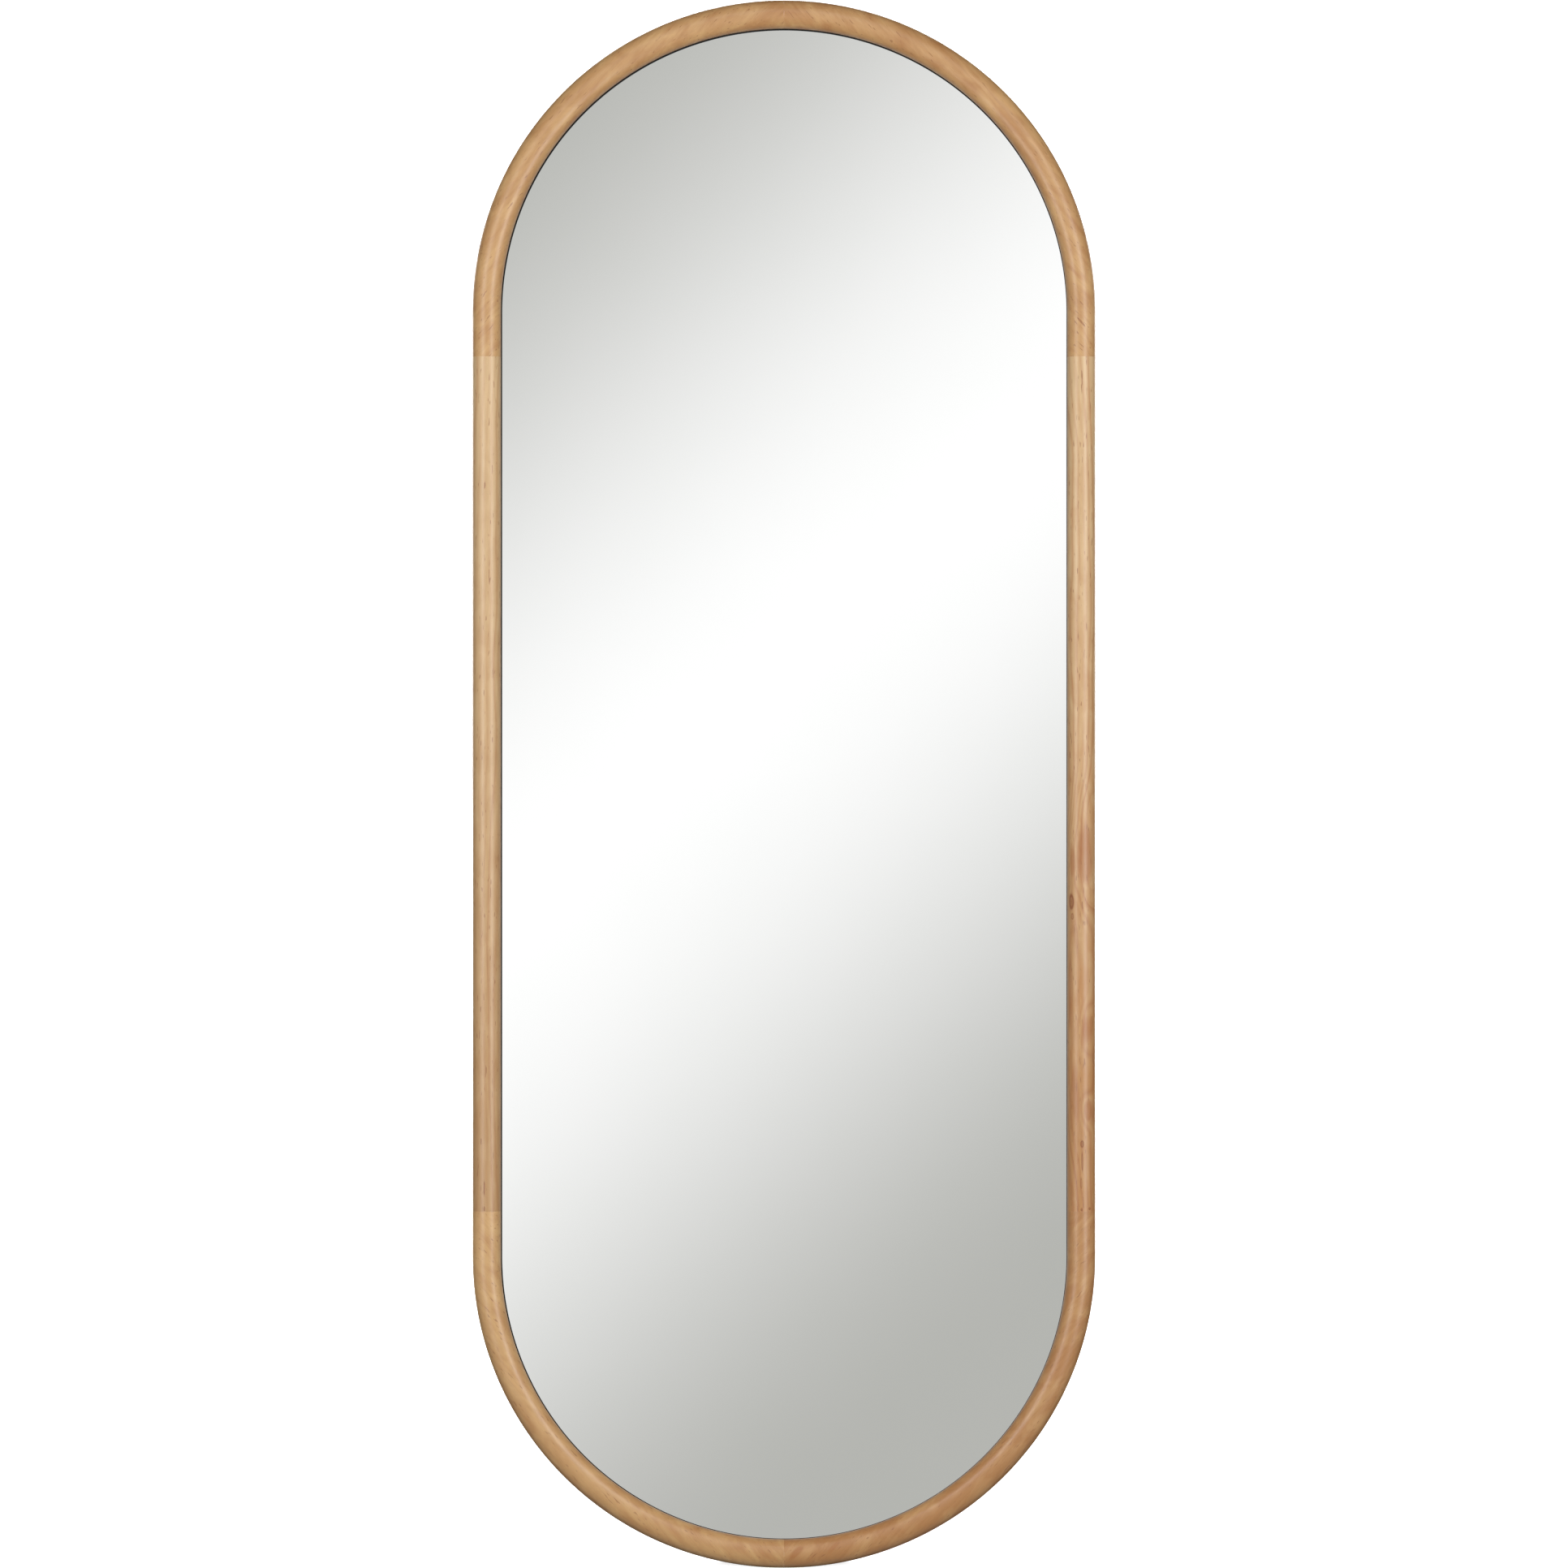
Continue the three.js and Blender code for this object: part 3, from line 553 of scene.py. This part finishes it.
def add_pill_sheet(name, low, high, easing, material, node):
    """A flat sheet of the mirror's shape between two corners, its edge eased front and back."""
    radius = high.x
    rim = [(radius - easing, low.y), (radius, low.y + easing), (radius, high.y - easing),
           (radius - easing, high.y)]
    bm = bmesh.new()
    join_rings(bm, list(zip(*sweep(bm, rim, pill_stations()))))
    mesh = smooth(to_mesh(node, bm))
    mesh.materials.append(material)
    return even_shading(add_piece(name, mesh, mirror_frame, "mirror", node))


glass = add_pill_sheet("silvered_glass", glass_low, glass_high, GLASS_EASING, silvered_glass,
                       "mirror_glass")


# ---- Foam sheet ------------------------------------------------------------------------
# White polyethylene foam between the glass and the panel, cut with a knife. It takes up the slack, and is
# hidden once the panel is on.

COARSE_CELL = 1.2 * MM
finish_node("foam_sheet", foam_material("white_foam_sheet", srgb("ececea"), srgb("d2d2cf"), COARSE_CELL))


# ---- Back panel ------------------------------------------------------------------------
# Nine-millimetre fibreboard, cut to the rebate and screwed to its ledge. Raw fibreboard is an even brown with
# short matted fibres and faint darker clouds.

PANEL_EASING = 0.5 * MM
CLOUD_SIZE = 70 * MM
MATTED_FIBRE = 2.2 * MM

fibreboard, shader, add = new_material("raw_fibreboard")
place = add("TexCoord", {}, "Object")
clouds = add("TexNoise", {"Vector": place, "Scale": 1 / CLOUD_SIZE, "Detail": 3})
fibres = add("TexNoise", {"Vector": place, "Scale": 1 / MATTED_FIBRE, "Detail": 5,
                          "Roughness": 0.7, "Distortion": 1.5})
mixed = add("Mix", {0: 0.55, 2: clouds, 3: fibres})
colour = add("ValToRGB", {"Fac": mixed},
             stops=[(0.32, srgb("94714e")), (0.7, srgb("b8936a")), (0.5, srgb("a9845b"))])
bump = add("Bump", {"Strength": 0.35, "Distance": 0.15 * MM, "Height": fibres})
plug(shader, {"Base Color": colour, "Normal": bump, "Roughness": 0.72})
add_pill_sheet("fibreboard_back_panel", panel_low, panel_high, PANEL_EASING, fibreboard, "back_panel")


# ---- Screws ----------------------------------------------------------------------------
# Pan-head wood screws in bright zinc-plated steel, with a cross recess. They hold the panel, the brackets and
# the crossbars. Each was driven by hand, so no two recesses line up.

SCREW_SIDES = 40
THREAD_ROOT = 0.72
SQUARE = ((-1, -1), (1, -1), (1, 1), (-1, 1))
MOTTLE_SIZE = 1.1 * MM

# Bright zinc plate is faintly blue, with a fine mottle from the bath.
zinc, shader, add = new_material("bright_zinc_plate")
place = add("TexCoord", {}, "Object")
mottle = add("TexNoise", {"Vector": place, "Scale": 1 / MOTTLE_SIZE, "Detail": 4})
colour = add("ValToRGB", {"Fac": mottle}, stops=[(0.3, srgb("a9adb3")), (0.7, srgb("cfd2d6"))])
rough = add("MapRange", {"Value": mottle, "From Min": 0.3, "From Max": 0.7, "To Min": 0.22, "To Max": 0.38})
plug(shader, {"Base Color": colour, "Roughness": rough, "Metallic": 1})


def turned_mesh(name, profile, sides):
    """A solid turned about z from a profile of radius and height, which starts and ends on the axis."""
    bm = bmesh.new()
    rings = []
    for radius, height in profile:
        turns = [2 * math.pi * i / sides for i in range(sides)]
        if radius == 0:
            rings.append([bm.verts.new((0, 0, height))] * sides)
        else:
            rings.append([bm.verts.new((radius * math.cos(a), radius * math.sin(a), height)) for a in turns])
    join_rings(bm, rings)
    return to_mesh(name, bm)


def domed_head(radius, height, fullness, seat=0):
    """A button head's profile, from its seat up over its dome."""
    profile = [(radius * 0.97, seat), (radius, seat + height * 0.12)]
    for step in range(1, 8):
        angle = math.pi / 2 * step / 8
        rise = height * (0.12 + 0.88 * math.sin(angle))
        profile.append((radius * math.cos(angle) ** fullness, seat + rise))
    return profile + [(0, seat + height)]


def carve(mesh, tools, operation="DIFFERENCE"):
    """The mesh with each tool's solid cut from it, or joined to it."""
    work = put("work", mesh)
    helpers = [put("tool", tool) for tool in tools]
    for helper in helpers:
        cut = work.modifiers.new("cut", "BOOLEAN")
        cut.operation = operation
        cut.object = helper
        cut.solver = "EXACT"
    bpy.context.view_layer.update()
    result = bpy.data.meshes.new_from_object(work.evaluated_get(bpy.context.evaluated_depsgraph_get()))
    result.name = mesh.name
    for thing in [work] + helpers:
        bpy.data.objects.remove(thing)
    return result


def screw_mesh(name, shank, length, head, head_height):
    """A screw standing on z, with its head's seat at z = 0, a domed head and a threaded, pointed shank."""
    pitch = shank * 0.9
    profile = [(0, -length)]
    for step in range(int((length - 3 * shank) / pitch)):
        z = -length + 2.5 * shank + step * pitch
        profile += [(shank * THREAD_ROOT, z), (shank, z + pitch * 0.5)]
    profile += [(shank * THREAD_ROOT, -0.5 * shank), (shank * 0.8, 0)] + domed_head(head, head_height, 0.7)
    body = turned_mesh(name, profile, SCREW_SIDES)

    # The cross is two slots, whose ends slope in to less than half their length at the bottom.
    wing, reach = head * 0.13, head * 0.52
    slots = []
    for turn in (0, math.pi / 2):
        bm = bmesh.new()
        join_rings(bm, [[bm.verts.new((x * reach * share, y * wing, head_height * height)) for x, y in SQUARE]
                        for height, share in ((1.3, 1), (0.175, 0.45))])
        slots.append(to_mesh("slot", bm))
        slots[-1].transform(Matrix.Rotation(turn, 4, "Z"))
    return smooth(carve(body, slots), 30)


random.seed(7)
screw_kinds = {
    "panel_screw": screw_mesh("panel_screw", 1.75 * MM, 17 * MM, 3.6 * MM, 2 * MM),
    "bracket_screw": screw_mesh("bracket_screw", 2 * MM, 10 * MM, 3.8 * MM, 2 * MM),
    "crossbar_screw": screw_mesh("crossbar_screw", 2.2 * MM, 54 * MM, 4.2 * MM, 2.4 * MM),
}
for kind, mesh in screw_kinds.items():
    mesh.materials.append(zinc)
    head_height = max(vertex.co.z for vertex in mesh.vertices)
    for node in sorted(name for name in nodes if kind in name):
        spin = Matrix.Rotation(random.uniform(0, math.pi), 4, "Z")
        body, place = ("easel", easel_frame) if kind == "crossbar_screw" else ("mirror", mirror_frame)
        low, high = node_box(node, place)
        seat = (low + high) / 2
        if body == "easel":
            side = math.copysign(1, seat.x)
            seat.x = (high.x if side > 0 else low.x) - side * head_height
            facing = Matrix.Rotation(side * math.pi / 2, 4, "Y")
        else:
            seat.y = high.y - head_height
            facing = Matrix.Rotation(-math.pi / 2, 4, "X")
        spot = place @ Matrix.Translation(seat) @ facing @ spin
        add_piece("zinc_" + node, mesh, spot, body, node)


# ---- Pivot brackets --------------------------------------------------------------------
# Each is cut from 2 mm sheet steel, bent up into two ears that take the pivot bolt, and powder coated black.
# The coat has the fine skin of an orange and softens every edge.

SHEET = 2 * MM
CORNER_RADIUS = 3 * MM
EAR_RADIUS = 9 * MM
EAR_FOOT = 15 * MM
SHOULDER_RISE = 2 * MM
SHOULDER_STEP = 1.5 * MM
HOLE_RADIUS = 3.3 * MM
SCREW_HOLE_RADIUS = 2.3 * MM
COAT_EASING = 0.45 * MM
PEEL_SIZE = 1.3 * MM
ROUND_SIDES = 48

powder_coat, shader, add = new_material("black_powder_coat")
place = add("TexCoord", {}, "Object")
peel = add("TexNoise", {"Vector": place, "Scale": 1 / PEEL_SIZE, "Detail": 2})
rough = add("MapRange", {"Value": peel, "From Min": 0.3, "From Max": 0.7, "To Min": 0.4, "To Max": 0.52})
colour = add("Mix", {0: peel, 6: srgb("191a1b"), 7: srgb("242527")}, 2, data_type="RGBA")
bump = add("Bump", {"Strength": 0.3, "Distance": 0.08 * MM, "Height": peel})
plug(shader, {"Base Color": colour, "Roughness": rough, "Normal": bump})


def slab_mesh(name, outline, axis, low, high):
    """An outline given a thickness. Its points lie in the plane across the axis, in the order of the axes
    that are left, and the solid runs from low to high along it."""
    bm = bmesh.new()
    rings = [[bm.verts.new((u, v)[:axis] + (level,) + (u, v)[axis:]) for u, v in outline]
             for level in (low, high)]
    join_rings(bm, rings)
    return to_mesh(name, bm)


def rod_mesh(radius, centre, axis, half_length):
    """A round rod along an axis, to cut a hole with."""
    profile = [(0, -half_length), (radius, -half_length), (radius, half_length), (0, half_length)]
    mesh = turned_mesh("rod", profile, ROUND_SIDES)
    turn = (Matrix.Rotation(math.pi / 2, 4, "Y"), Matrix.Rotation(math.pi / 2, 4, "X"), Matrix())[axis]
    mesh.transform(Matrix.Translation(centre) @ turn)
    return mesh


def ease_edges(piece, width):
    """Rounds every edge that turns by more than 30 degrees."""
    bevel = piece.modifiers.new("eased_edges", "BEVEL")
    bevel.width = width
    bevel.segments = 3
    bevel.limit_method = "ANGLE"
    bevel.angle_limit = math.radians(30)
    return even_shading(piece)


def bracket_mesh(name, low, high, screw_places):
    """The bracket in the mirror's directions, from the pivot. low and high are its corners, from there."""
    sheet_back = low.y + SHEET
    flat = [(low.x, low.z, 1), (high.x, low.z, 1), (high.x, high.z, 1), (low.x, high.z, 1)]
    base = slab_mesh(name, eased(flat, CORNER_RADIUS, 5), 1, low.y, sheet_back)
    foot = [(low.y, EAR_FOOT), (sheet_back, EAR_FOOT), (sheet_back + SHOULDER_RISE, EAR_FOOT - SHOULDER_STEP)]
    ear = [(y, -z) for y, z in foot]
    for step in range(25):
        angle = math.pi * (step / 24 - 0.5)
        ear.append((EAR_RADIUS * math.cos(angle), EAR_RADIUS * math.sin(angle)))
    ear += foot[::-1]
    ears = [slab_mesh("ear", ear, 0, x, x + SHEET) for x in (low.x, high.x - SHEET)]
    holes = [rod_mesh(HOLE_RADIUS, Vector(), 0, high.x + SHEET)]
    holes += [rod_mesh(SCREW_HOLE_RADIUS, place, 1, 2 * SHEET) for place in screw_places]
    return smooth(carve(carve(base, ears, "UNION"), holes))


def node_middle(node):
    low, high = node_box(node, mirror_frame)
    return (low + high) / 2


for side in sides:
    node = side + "_pivot_bracket"
    low, high = node_box(node, mirror_frame)
    pivot = node_middle(side + "_pivot_bolt")
    pivot.x = (low.x + high.x) / 2
    screws = [node_middle(f"{side}_bracket_screw_{number}") - pivot for number in (1, 2, 3)]
    screw_places = [Vector((screw.x, low.y - pivot.y, screw.z)) for screw in screws]
    mesh = bracket_mesh(node, low - pivot, high - pivot, screw_places)
    mesh.materials.append(powder_coat)
    spot = mirror_frame @ Matrix.Translation(pivot)
    ease_edges(add_piece("steel_" + node, mesh, spot, "mirror", node), COAT_EASING)


# ---- Pivot bolts and lock nuts ---------------------------------------------------------
# Button-head bolts with a hexagon socket, and lock nuts with a nylon collar, which stay put without pinching
# the leg. Both are bright zinc plate.

BOLT_RADIUS = 3 * MM
BOLT_ROOT = BOLT_RADIUS * 0.86
THREAD_PITCH = 1 * MM
THREADS = 8
HEAD_RADIUS = 5.5 * MM
HEAD_HEIGHT = 3.5 * MM
SOCKET_RADIUS = 2.3 * MM
SOCKET_DEPTH = 2 * MM
NUT_RADIUS = 5.75 * MM


def hexagon_mesh(name, radius, low, high, turn=0):
    angles = [math.pi * i / 3 + turn for i in range(6)]
    return slab_mesh(name, [(radius * math.cos(a), radius * math.sin(a)) for a in angles], 2, low, high)


def bolt_mesh(seat):
    """A bolt standing on z with its tail at z = 0, and its head's seat at this height."""
    profile = [(0, 0), (BOLT_RADIUS * 0.8, 0), (BOLT_ROOT, THREAD_PITCH / 2)]
    for turn in range(1, THREADS + 1):
        profile += [(BOLT_RADIUS, THREAD_PITCH * turn), (BOLT_ROOT, THREAD_PITCH * (turn + 0.5))]
    profile += [(BOLT_RADIUS, THREAD_PITCH * (THREADS + 1)), (BOLT_RADIUS, seat)]
    profile += domed_head(HEAD_RADIUS, HEAD_HEIGHT, 0.8, seat)
    top = seat + HEAD_HEIGHT
    socket = hexagon_mesh("socket", SOCKET_RADIUS, top - SOCKET_DEPTH, top + MM)
    return smooth(carve(turned_mesh("pivot_bolt", profile, ROUND_SIDES), [socket]), 32)


def nut_mesh(thickness):
    """A lock nut along z: a chamfered hexagon with a round collar towards +z. The hexagon is turned a hair,
    so that its corners miss the collar's."""
    hexagon = hexagon_mesh("lock_nut", NUT_RADIUS, -thickness / 2, thickness / 4, math.pi / ROUND_SIDES / 2)
    flat = NUT_RADIUS * math.cos(math.pi / 6)
    wide = NUT_RADIUS * 1.05
    cone = [(0, -thickness * 0.6), (flat * 0.8, -thickness * 0.6), (wide, -thickness * 0.3),
            (wide, thickness * 0.1), (flat * 0.8, thickness * 0.35), (0, thickness * 0.35)]
    collar = [(0, 0), (flat * 0.9, 0), (flat * 0.9, thickness * 0.4), (flat * 0.82, thickness / 2),
              (0, thickness / 2)]
    solid = carve(hexagon, [turned_mesh("cone", cone, ROUND_SIDES)], "INTERSECT")
    solid = carve(solid, [turned_mesh("collar", collar, ROUND_SIDES)], "UNION")
    return smooth(carve(solid, [rod_mesh(BOLT_RADIUS * 1.02, Vector(), 2, thickness)]), 30)


for side, sign in sides.items():
    bolt, nut = side + "_pivot_bolt", side + "_lock_nut"
    low, high = node_box(bolt, mirror_frame)
    nut_low, nut_high = node_box(nut, mirror_frame)
    tail = (low + high) / 2
    tail.x = low.x if sign > 0 else high.x
    for node, mesh, place, turn in ((bolt, bolt_mesh(high.x - low.x - HEAD_HEIGHT), tail, sign),
                                    (nut, nut_mesh(nut_high.x - nut_low.x), (nut_low + nut_high) / 2, -sign)):
        mesh.materials.append(zinc)
        spot = mirror_frame @ Matrix.Translation(place) @ Matrix.Rotation(turn * math.pi / 2, 4, "Y")
        add_piece("zinc_" + node, mesh, spot, "mirror", node)


# ---- Easel -----------------------------------------------------------------------------
# Two pine legs and two crossbars, planed square with their arrises taken off, and lacquered like the frame.
# Each leg's heel is bevelled above the bolt, to bear on its bracket when the easel is open, and its foot is
# sawn level with the floor.

ARRIS = 1.6 * MM


def hull_outline(node):
    """The side view of a CAD board that runs across x: depth and height, in order round it."""
    to_easel = easel_frame.inverted()
    corners = (to_easel @ vertex.co for vertex in nodes[node].data.vertices)
    points = sorted({(round(corner.y, 6), round(corner.z, 6)) for corner in corners})
    outline = []
    for ordered in (points, points[::-1]):
        chain = []
        for point in ordered:
            while len(chain) > 1:
                (ay, az), (by, bz) = chain[-2:]
                if (by - ay) * (point[1] - az) - (bz - az) * (point[0] - ay) > 1e-9:
                    break
                chain.pop()
            chain.append(point)
        outline += chain[:-1]
    return outline


def add_bar(node, mesh, along, heart, tones):
    lay_grain(mesh, along, heart, tones)
    mesh.materials.append(pale_pine)
    ease_edges(add_piece("pine_" + node, smooth(mesh), easel_frame, "easel", node), ARRIS)


for number, (side, sign) in enumerate(sides.items()):
    node = side + "_leg"
    low, high = node_box(node, easel_frame)
    blank = slab_mesh(node, hull_outline(node), 0, low.x, high.x)
    middle = Vector(((low.x + high.x) / 2, 0, 0))
    leg = carve(blank, [rod_mesh(HOLE_RADIUS, middle, 0, high.x - low.x)])
    add_bar(node, leg, (0.006, 0.01 * sign, 1), (0.03 + 0.02 * number, 0.035, 6 + number), (0.5, 0.35))

for number, node in enumerate(("lower_crossbar", "upper_crossbar")):
    low, high = node_box(node, easel_frame)
    outline = [(low.y, low.z), (high.y, low.z), (high.y, high.z), (low.y, high.z)]
    bar = slab_mesh(node, outline, 0, low.x, high.x)
    add_bar(node, bar, (1, 0.01, 0.02), (0.04, 0.03 + 0.03 * number, 8 + number), (0.4, 0.45))


# ---- Foot pads and bumpers -------------------------------------------------------------
# Moulded black rubber. The pads are glued under the legs, and the bumpers are stuck to the panel where the
# folded legs come to rest. Moulded rubber is dull, with a very fine grain.

PAD_EASING = 0.8 * MM
RUBBER_GRAIN = 0.7 * MM

rubber, shader, add = new_material("moulded_black_rubber")
place = add("TexCoord", {}, "Object")
grain = add("TexNoise", {"Vector": place, "Scale": 1 / RUBBER_GRAIN, "Detail": 3})
colour = add("Mix", {0: grain, 6: srgb("1a1a1b"), 7: srgb("2a2a2b")}, 2, data_type="RGBA")
bump = add("Bump", {"Strength": 0.4, "Distance": 0.08 * MM, "Height": grain})
plug(shader, {"Base Color": colour, "Normal": bump, "Roughness": 0.7})

for side in sides:
    node = side + "_foot_pad"
    low, high = node_box(node, easel_frame)
    mesh = slab_mesh(node, hull_outline(node), 0, low.x, high.x)
    mesh.materials.append(rubber)
    ease_edges(add_piece("rubber_" + node, smooth(mesh), easel_frame, "easel", node), PAD_EASING)

    node = side + "_leg_bumper"
    low, high = node_box(node, mirror_frame)
    height, radius = high.y - low.y, (high.x - low.x) / 2
    profile = [(0, 0), (radius * 0.97, 0), (radius, height * 0.08), (radius * 0.98, height * 0.3)]
    for step in range(1, 8):
        angle = math.pi / 2 * step / 8
        profile.append((radius * (0.78 + 0.17 * math.cos(angle)), height * (0.72 + 0.28 * math.sin(angle))))
    profile += [(radius * 0.7, height), (0, height)]
    mesh = smooth(turned_mesh(node, profile, ROUND_SIDES), 40)
    mesh.materials.append(rubber)
    seat = (low + high) / 2
    seat.y = low.y
    spot = mirror_frame @ Matrix.Translation(seat) @ Matrix.Rotation(-math.pi / 2, 4, "X")
    add_piece("rubber_" + node, mesh, spot, "mirror", node)


# ---- Studio ----------------------------------------------------------------------------
# A white floor under an even sky. Two tall softboxes in front draw the bright lines along the moulding, two
# more and a broad one light the sides and the back, and a graded white card gives the mirror its reflection.

def stage_sheet(name, half_width, half_depth, half_height, material):
    """A flat sheet that isn't part of the mirror."""
    corners = [(x * half_width, y * half_depth, y * half_height) for x, y in SQUARE]
    mesh = bpy.data.meshes.new(name)
    mesh.from_pydata(corners, [], [(0, 1, 2, 3)])
    mesh.materials.append(material)
    sheet = put(name, mesh)
    return sheet


FLOOR_REACH = 40
FLOOR_GLOW = 0.78
floor_paint, shader, add = new_material("white_studio_floor")
plug(shader, {"Base Color": srgb("f4f4f4"), "Roughness": 0.9, "Specular IOR Level": 0.0,
              "Emission Color": grey(1), "Emission Strength": FLOOR_GLOW})
floor = stage_sheet("floor", FLOOR_REACH, FLOOR_REACH, 0, floor_paint)
floor.visible_diffuse = False
floor.visible_glossy = False

# The card's grade runs at a slant: white along a band through its middle, and grey towards two corners. Its
# edges fade out. It glows only for a ray that hasn't met a dull surface, so it lights nothing.
CARD_DISTANCE = 3.0
CARD_HALF = (0.95, 1.75)
CARD_SOLID = (0.5, 1.25)
CARD_GREY = (0.515, 0.518, 0.492, 1)
CARD_WHITE = grey(1.13)
GRADE_SLANT = math.radians(47.7)
GRADE_HALF_WIDTH = 0.90
GRADE_MIDDLE = -0.128
card_paint, shader, add = new_material("graded_card")
card_nodes = card_paint.node_tree.nodes
card_nodes.remove(shader)
place = add("TexCoord", {}, "Object")
slant = (math.cos(GRADE_SLANT), 0, -math.sin(GRADE_SLANT))
slanted = add("VectorMath", {0: place, 1: slant}, "Value", operation="DOT_PRODUCT")
slanted = add("Math", {0: slanted, 1: GRADE_MIDDLE}, operation="SUBTRACT")
wave = add("Math", {0: slanted, 1: math.pi / GRADE_HALF_WIDTH}, operation="MULTIPLY")
wave = add("Math", {0: wave, 1: -math.pi}, operation="MAXIMUM")
wave = add("Math", {0: wave, 1: math.pi}, operation="MINIMUM")
wave = add("Math", {0: wave}, operation="COSINE")
share = add("Math", {0: wave, 1: 0.5, 2: 0.5}, operation="MULTIPLY_ADD")
colour = add("Mix", {0: share, 6: CARD_GREY, 7: CARD_WHITE}, 2, data_type="RGBA")
bounces = add("LightPath", {}, "Diffuse Depth")
first_hand = add("Math", {0: bounces, 1: 0.5}, operation="LESS_THAN")
glow = add("Emission", {"Color": colour, "Strength": first_hand})
feather = 1.0
for axis, solid, half in zip("XZ", CARD_SOLID, CARD_HALF):
    distance = add("SeparateXYZ", {0: place}, axis)
    distance = add("Math", {0: distance}, operation="ABSOLUTE")
    fade = add("MapRange", {"Value": distance, "From Min": solid, "From Max": half, "To Min": 1,
                            "To Max": 0}, interpolation_type="SMOOTHSTEP")
    feather = add("Math", {0: feather, 1: fade}, operation="MULTIPLY")
clear = add("BsdfTransparent", {})
surface = add("MixShader", {0: feather, 1: clear, 2: glow})
plug(card_nodes["Material Output"], {"Surface": surface})
card = stage_sheet("graded_card", CARD_HALF[0], 0, CARD_HALF[1], card_paint)
card.matrix_world = mirror_frame @ Matrix.Translation((0, -CARD_DISTANCE, 0))
card.visible_camera = False
card.visible_diffuse = False
card.visible_shadow = False

# The sky is white to the eye. As light it is a dim fill from overhead and behind, and in reflections it is
# bright in front of the mirror and dim behind it.
OVERHEAD = (0, 0.45, 0.89)
DIMMEST_FILL, BRIGHTEST_FILL = 0.06, 0.32
world = bpy.data.worlds.new("studio")
bpy.context.scene.world = world
world.use_nodes = True
add = functools.partial(add_node, world.node_tree)
direction = add("TexCoord", {}, "Generated")
from_above = add("VectorMath", {0: direction, 1: OVERHEAD}, "Value", operation="DOT_PRODUCT")
fill = add("MapRange", {"Value": from_above, "From Min": -0.4, "From Max": 1,
                        "To Min": DIMMEST_FILL, "To Max": BRIGHTEST_FILL})
height = add("SeparateXYZ", {0: direction}, "Z")
reflected = add("ValToRGB", {"Fac": height},
                stops=[(0.0, grey(0.95)), (0.9, grey(0.42)), (0.25, grey(0.72))])
behind = add("SeparateXYZ", {0: direction}, "Y")
in_front = add("MapRange", {"Value": behind, "From Min": -0.15, "From Max": 0.25, "To Min": 1,
                            "To Max": 0.1})
reflected = add("VectorMath", {0: reflected, "Scale": in_front}, operation="SCALE")
bounces = add("LightPath", {}, "Diffuse Depth")
first_hand = add("Math", {0: bounces, 1: 0.5}, operation="LESS_THAN")
glossy = add("LightPath", {}, "Is Glossy Ray")
mirrored = add("Math", {0: glossy, 1: first_hand}, operation="MULTIPLY")
fill = add("Mix", {0: mirrored, 6: fill, 7: reflected}, 2, data_type="RGBA")
looked_at = add("LightPath", {}, "Is Camera Ray")
seen = add("Mix", {0: looked_at, 6: fill, 7: grey(1.0)}, 2, data_type="RGBA")
plug(world.node_tree.nodes["Background"], {"Color": seen})


def add_light(name, kind, place, aim, power, lit, **settings):
    """A light that the camera doesn't see, pointed from one place at another, for the things it may light."""
    data = bpy.data.lights.new(name, kind)
    data.energy = power
    for key, value in settings.items():
        setattr(data, key, value)
    light = put(name, data)
    light.location = place
    light.rotation_euler = (aim - place).to_track_quat("-Z", "Y").to_euler()
    light.visible_camera = False
    light.light_linking.receiver_collection = lit


# The glass takes no light from the softboxes, so they neither show in it nor throw sparks on the moulding.
not_glass = bpy.data.collections.new("not_glass")
not_glass.objects.link(glass)
not_glass.collection_objects[0].light_linking.link_state = "EXCLUDE"
floor_only = bpy.data.collections.new("floor_only")
floor_only.objects.link(floor)

# Each softbox's place from the middle of the glass, its width and height, in metres, and its power in watts.
middle = mirror_frame @ Vector()
softboxes = (("right_softbox", (1.5, -2.45, 0.2), (0.8, 2.2), 55),
             ("left_softbox", (-1.5, -2.45, 0.2), (0.8, 2.2), 43),
             ("right_rim_softbox", (2.2, 2.6, 0.2), (0.8, 2.2), 32),
             ("left_rim_softbox", (-2.2, 2.6, 0.2), (0.8, 2.2), 32),
             ("top_softbox", (0, -2.6, 2.0), (1.6, 0.9), 12))
for name, place, (wide, tall), power in softboxes:
    add_light(name, "AREA", mirror_frame @ Vector(place), middle, power, not_glass, shape="RECTANGLE",
              size=wide, size_y=tall)
add_light("back_softbox", "AREA", Vector((0, 3.4, 1.5)), middle, 115, None, shape="RECTANGLE", size=2.4,
          size_y=2.0)
add_light("floor_light", "SUN", Vector((0.4, -0.6, 5)), Vector(), 4.2, floor_only, angle=math.radians(100))

# A long lens, square on to the glass, from far enough back that the frame's sides look straight.
CAMERA_DISTANCE = 8.5
FRAMING = 1.0003
camera_data = bpy.data.cameras.new("camera")
camera = put("camera", camera_data)
stand = Matrix.Translation((0, -CAMERA_DISTANCE, 0))
camera.matrix_world = mirror_frame @ stand @ Matrix.Rotation(math.pi / 2, 4, "X")
half_height = arc_centre + inner_radius + FACE_WIDTH
widest_line = CAMERA_DISTANCE + moulding_front + ROUND_DEPTH
camera_data.sensor_fit = "HORIZONTAL"
camera_data.angle = 2 * math.atan(half_height * FRAMING / widest_line)
camera_data.clip_end = 200
bpy.context.scene.camera = camera
bpy.context.scene.view_settings.view_transform = "Standard"
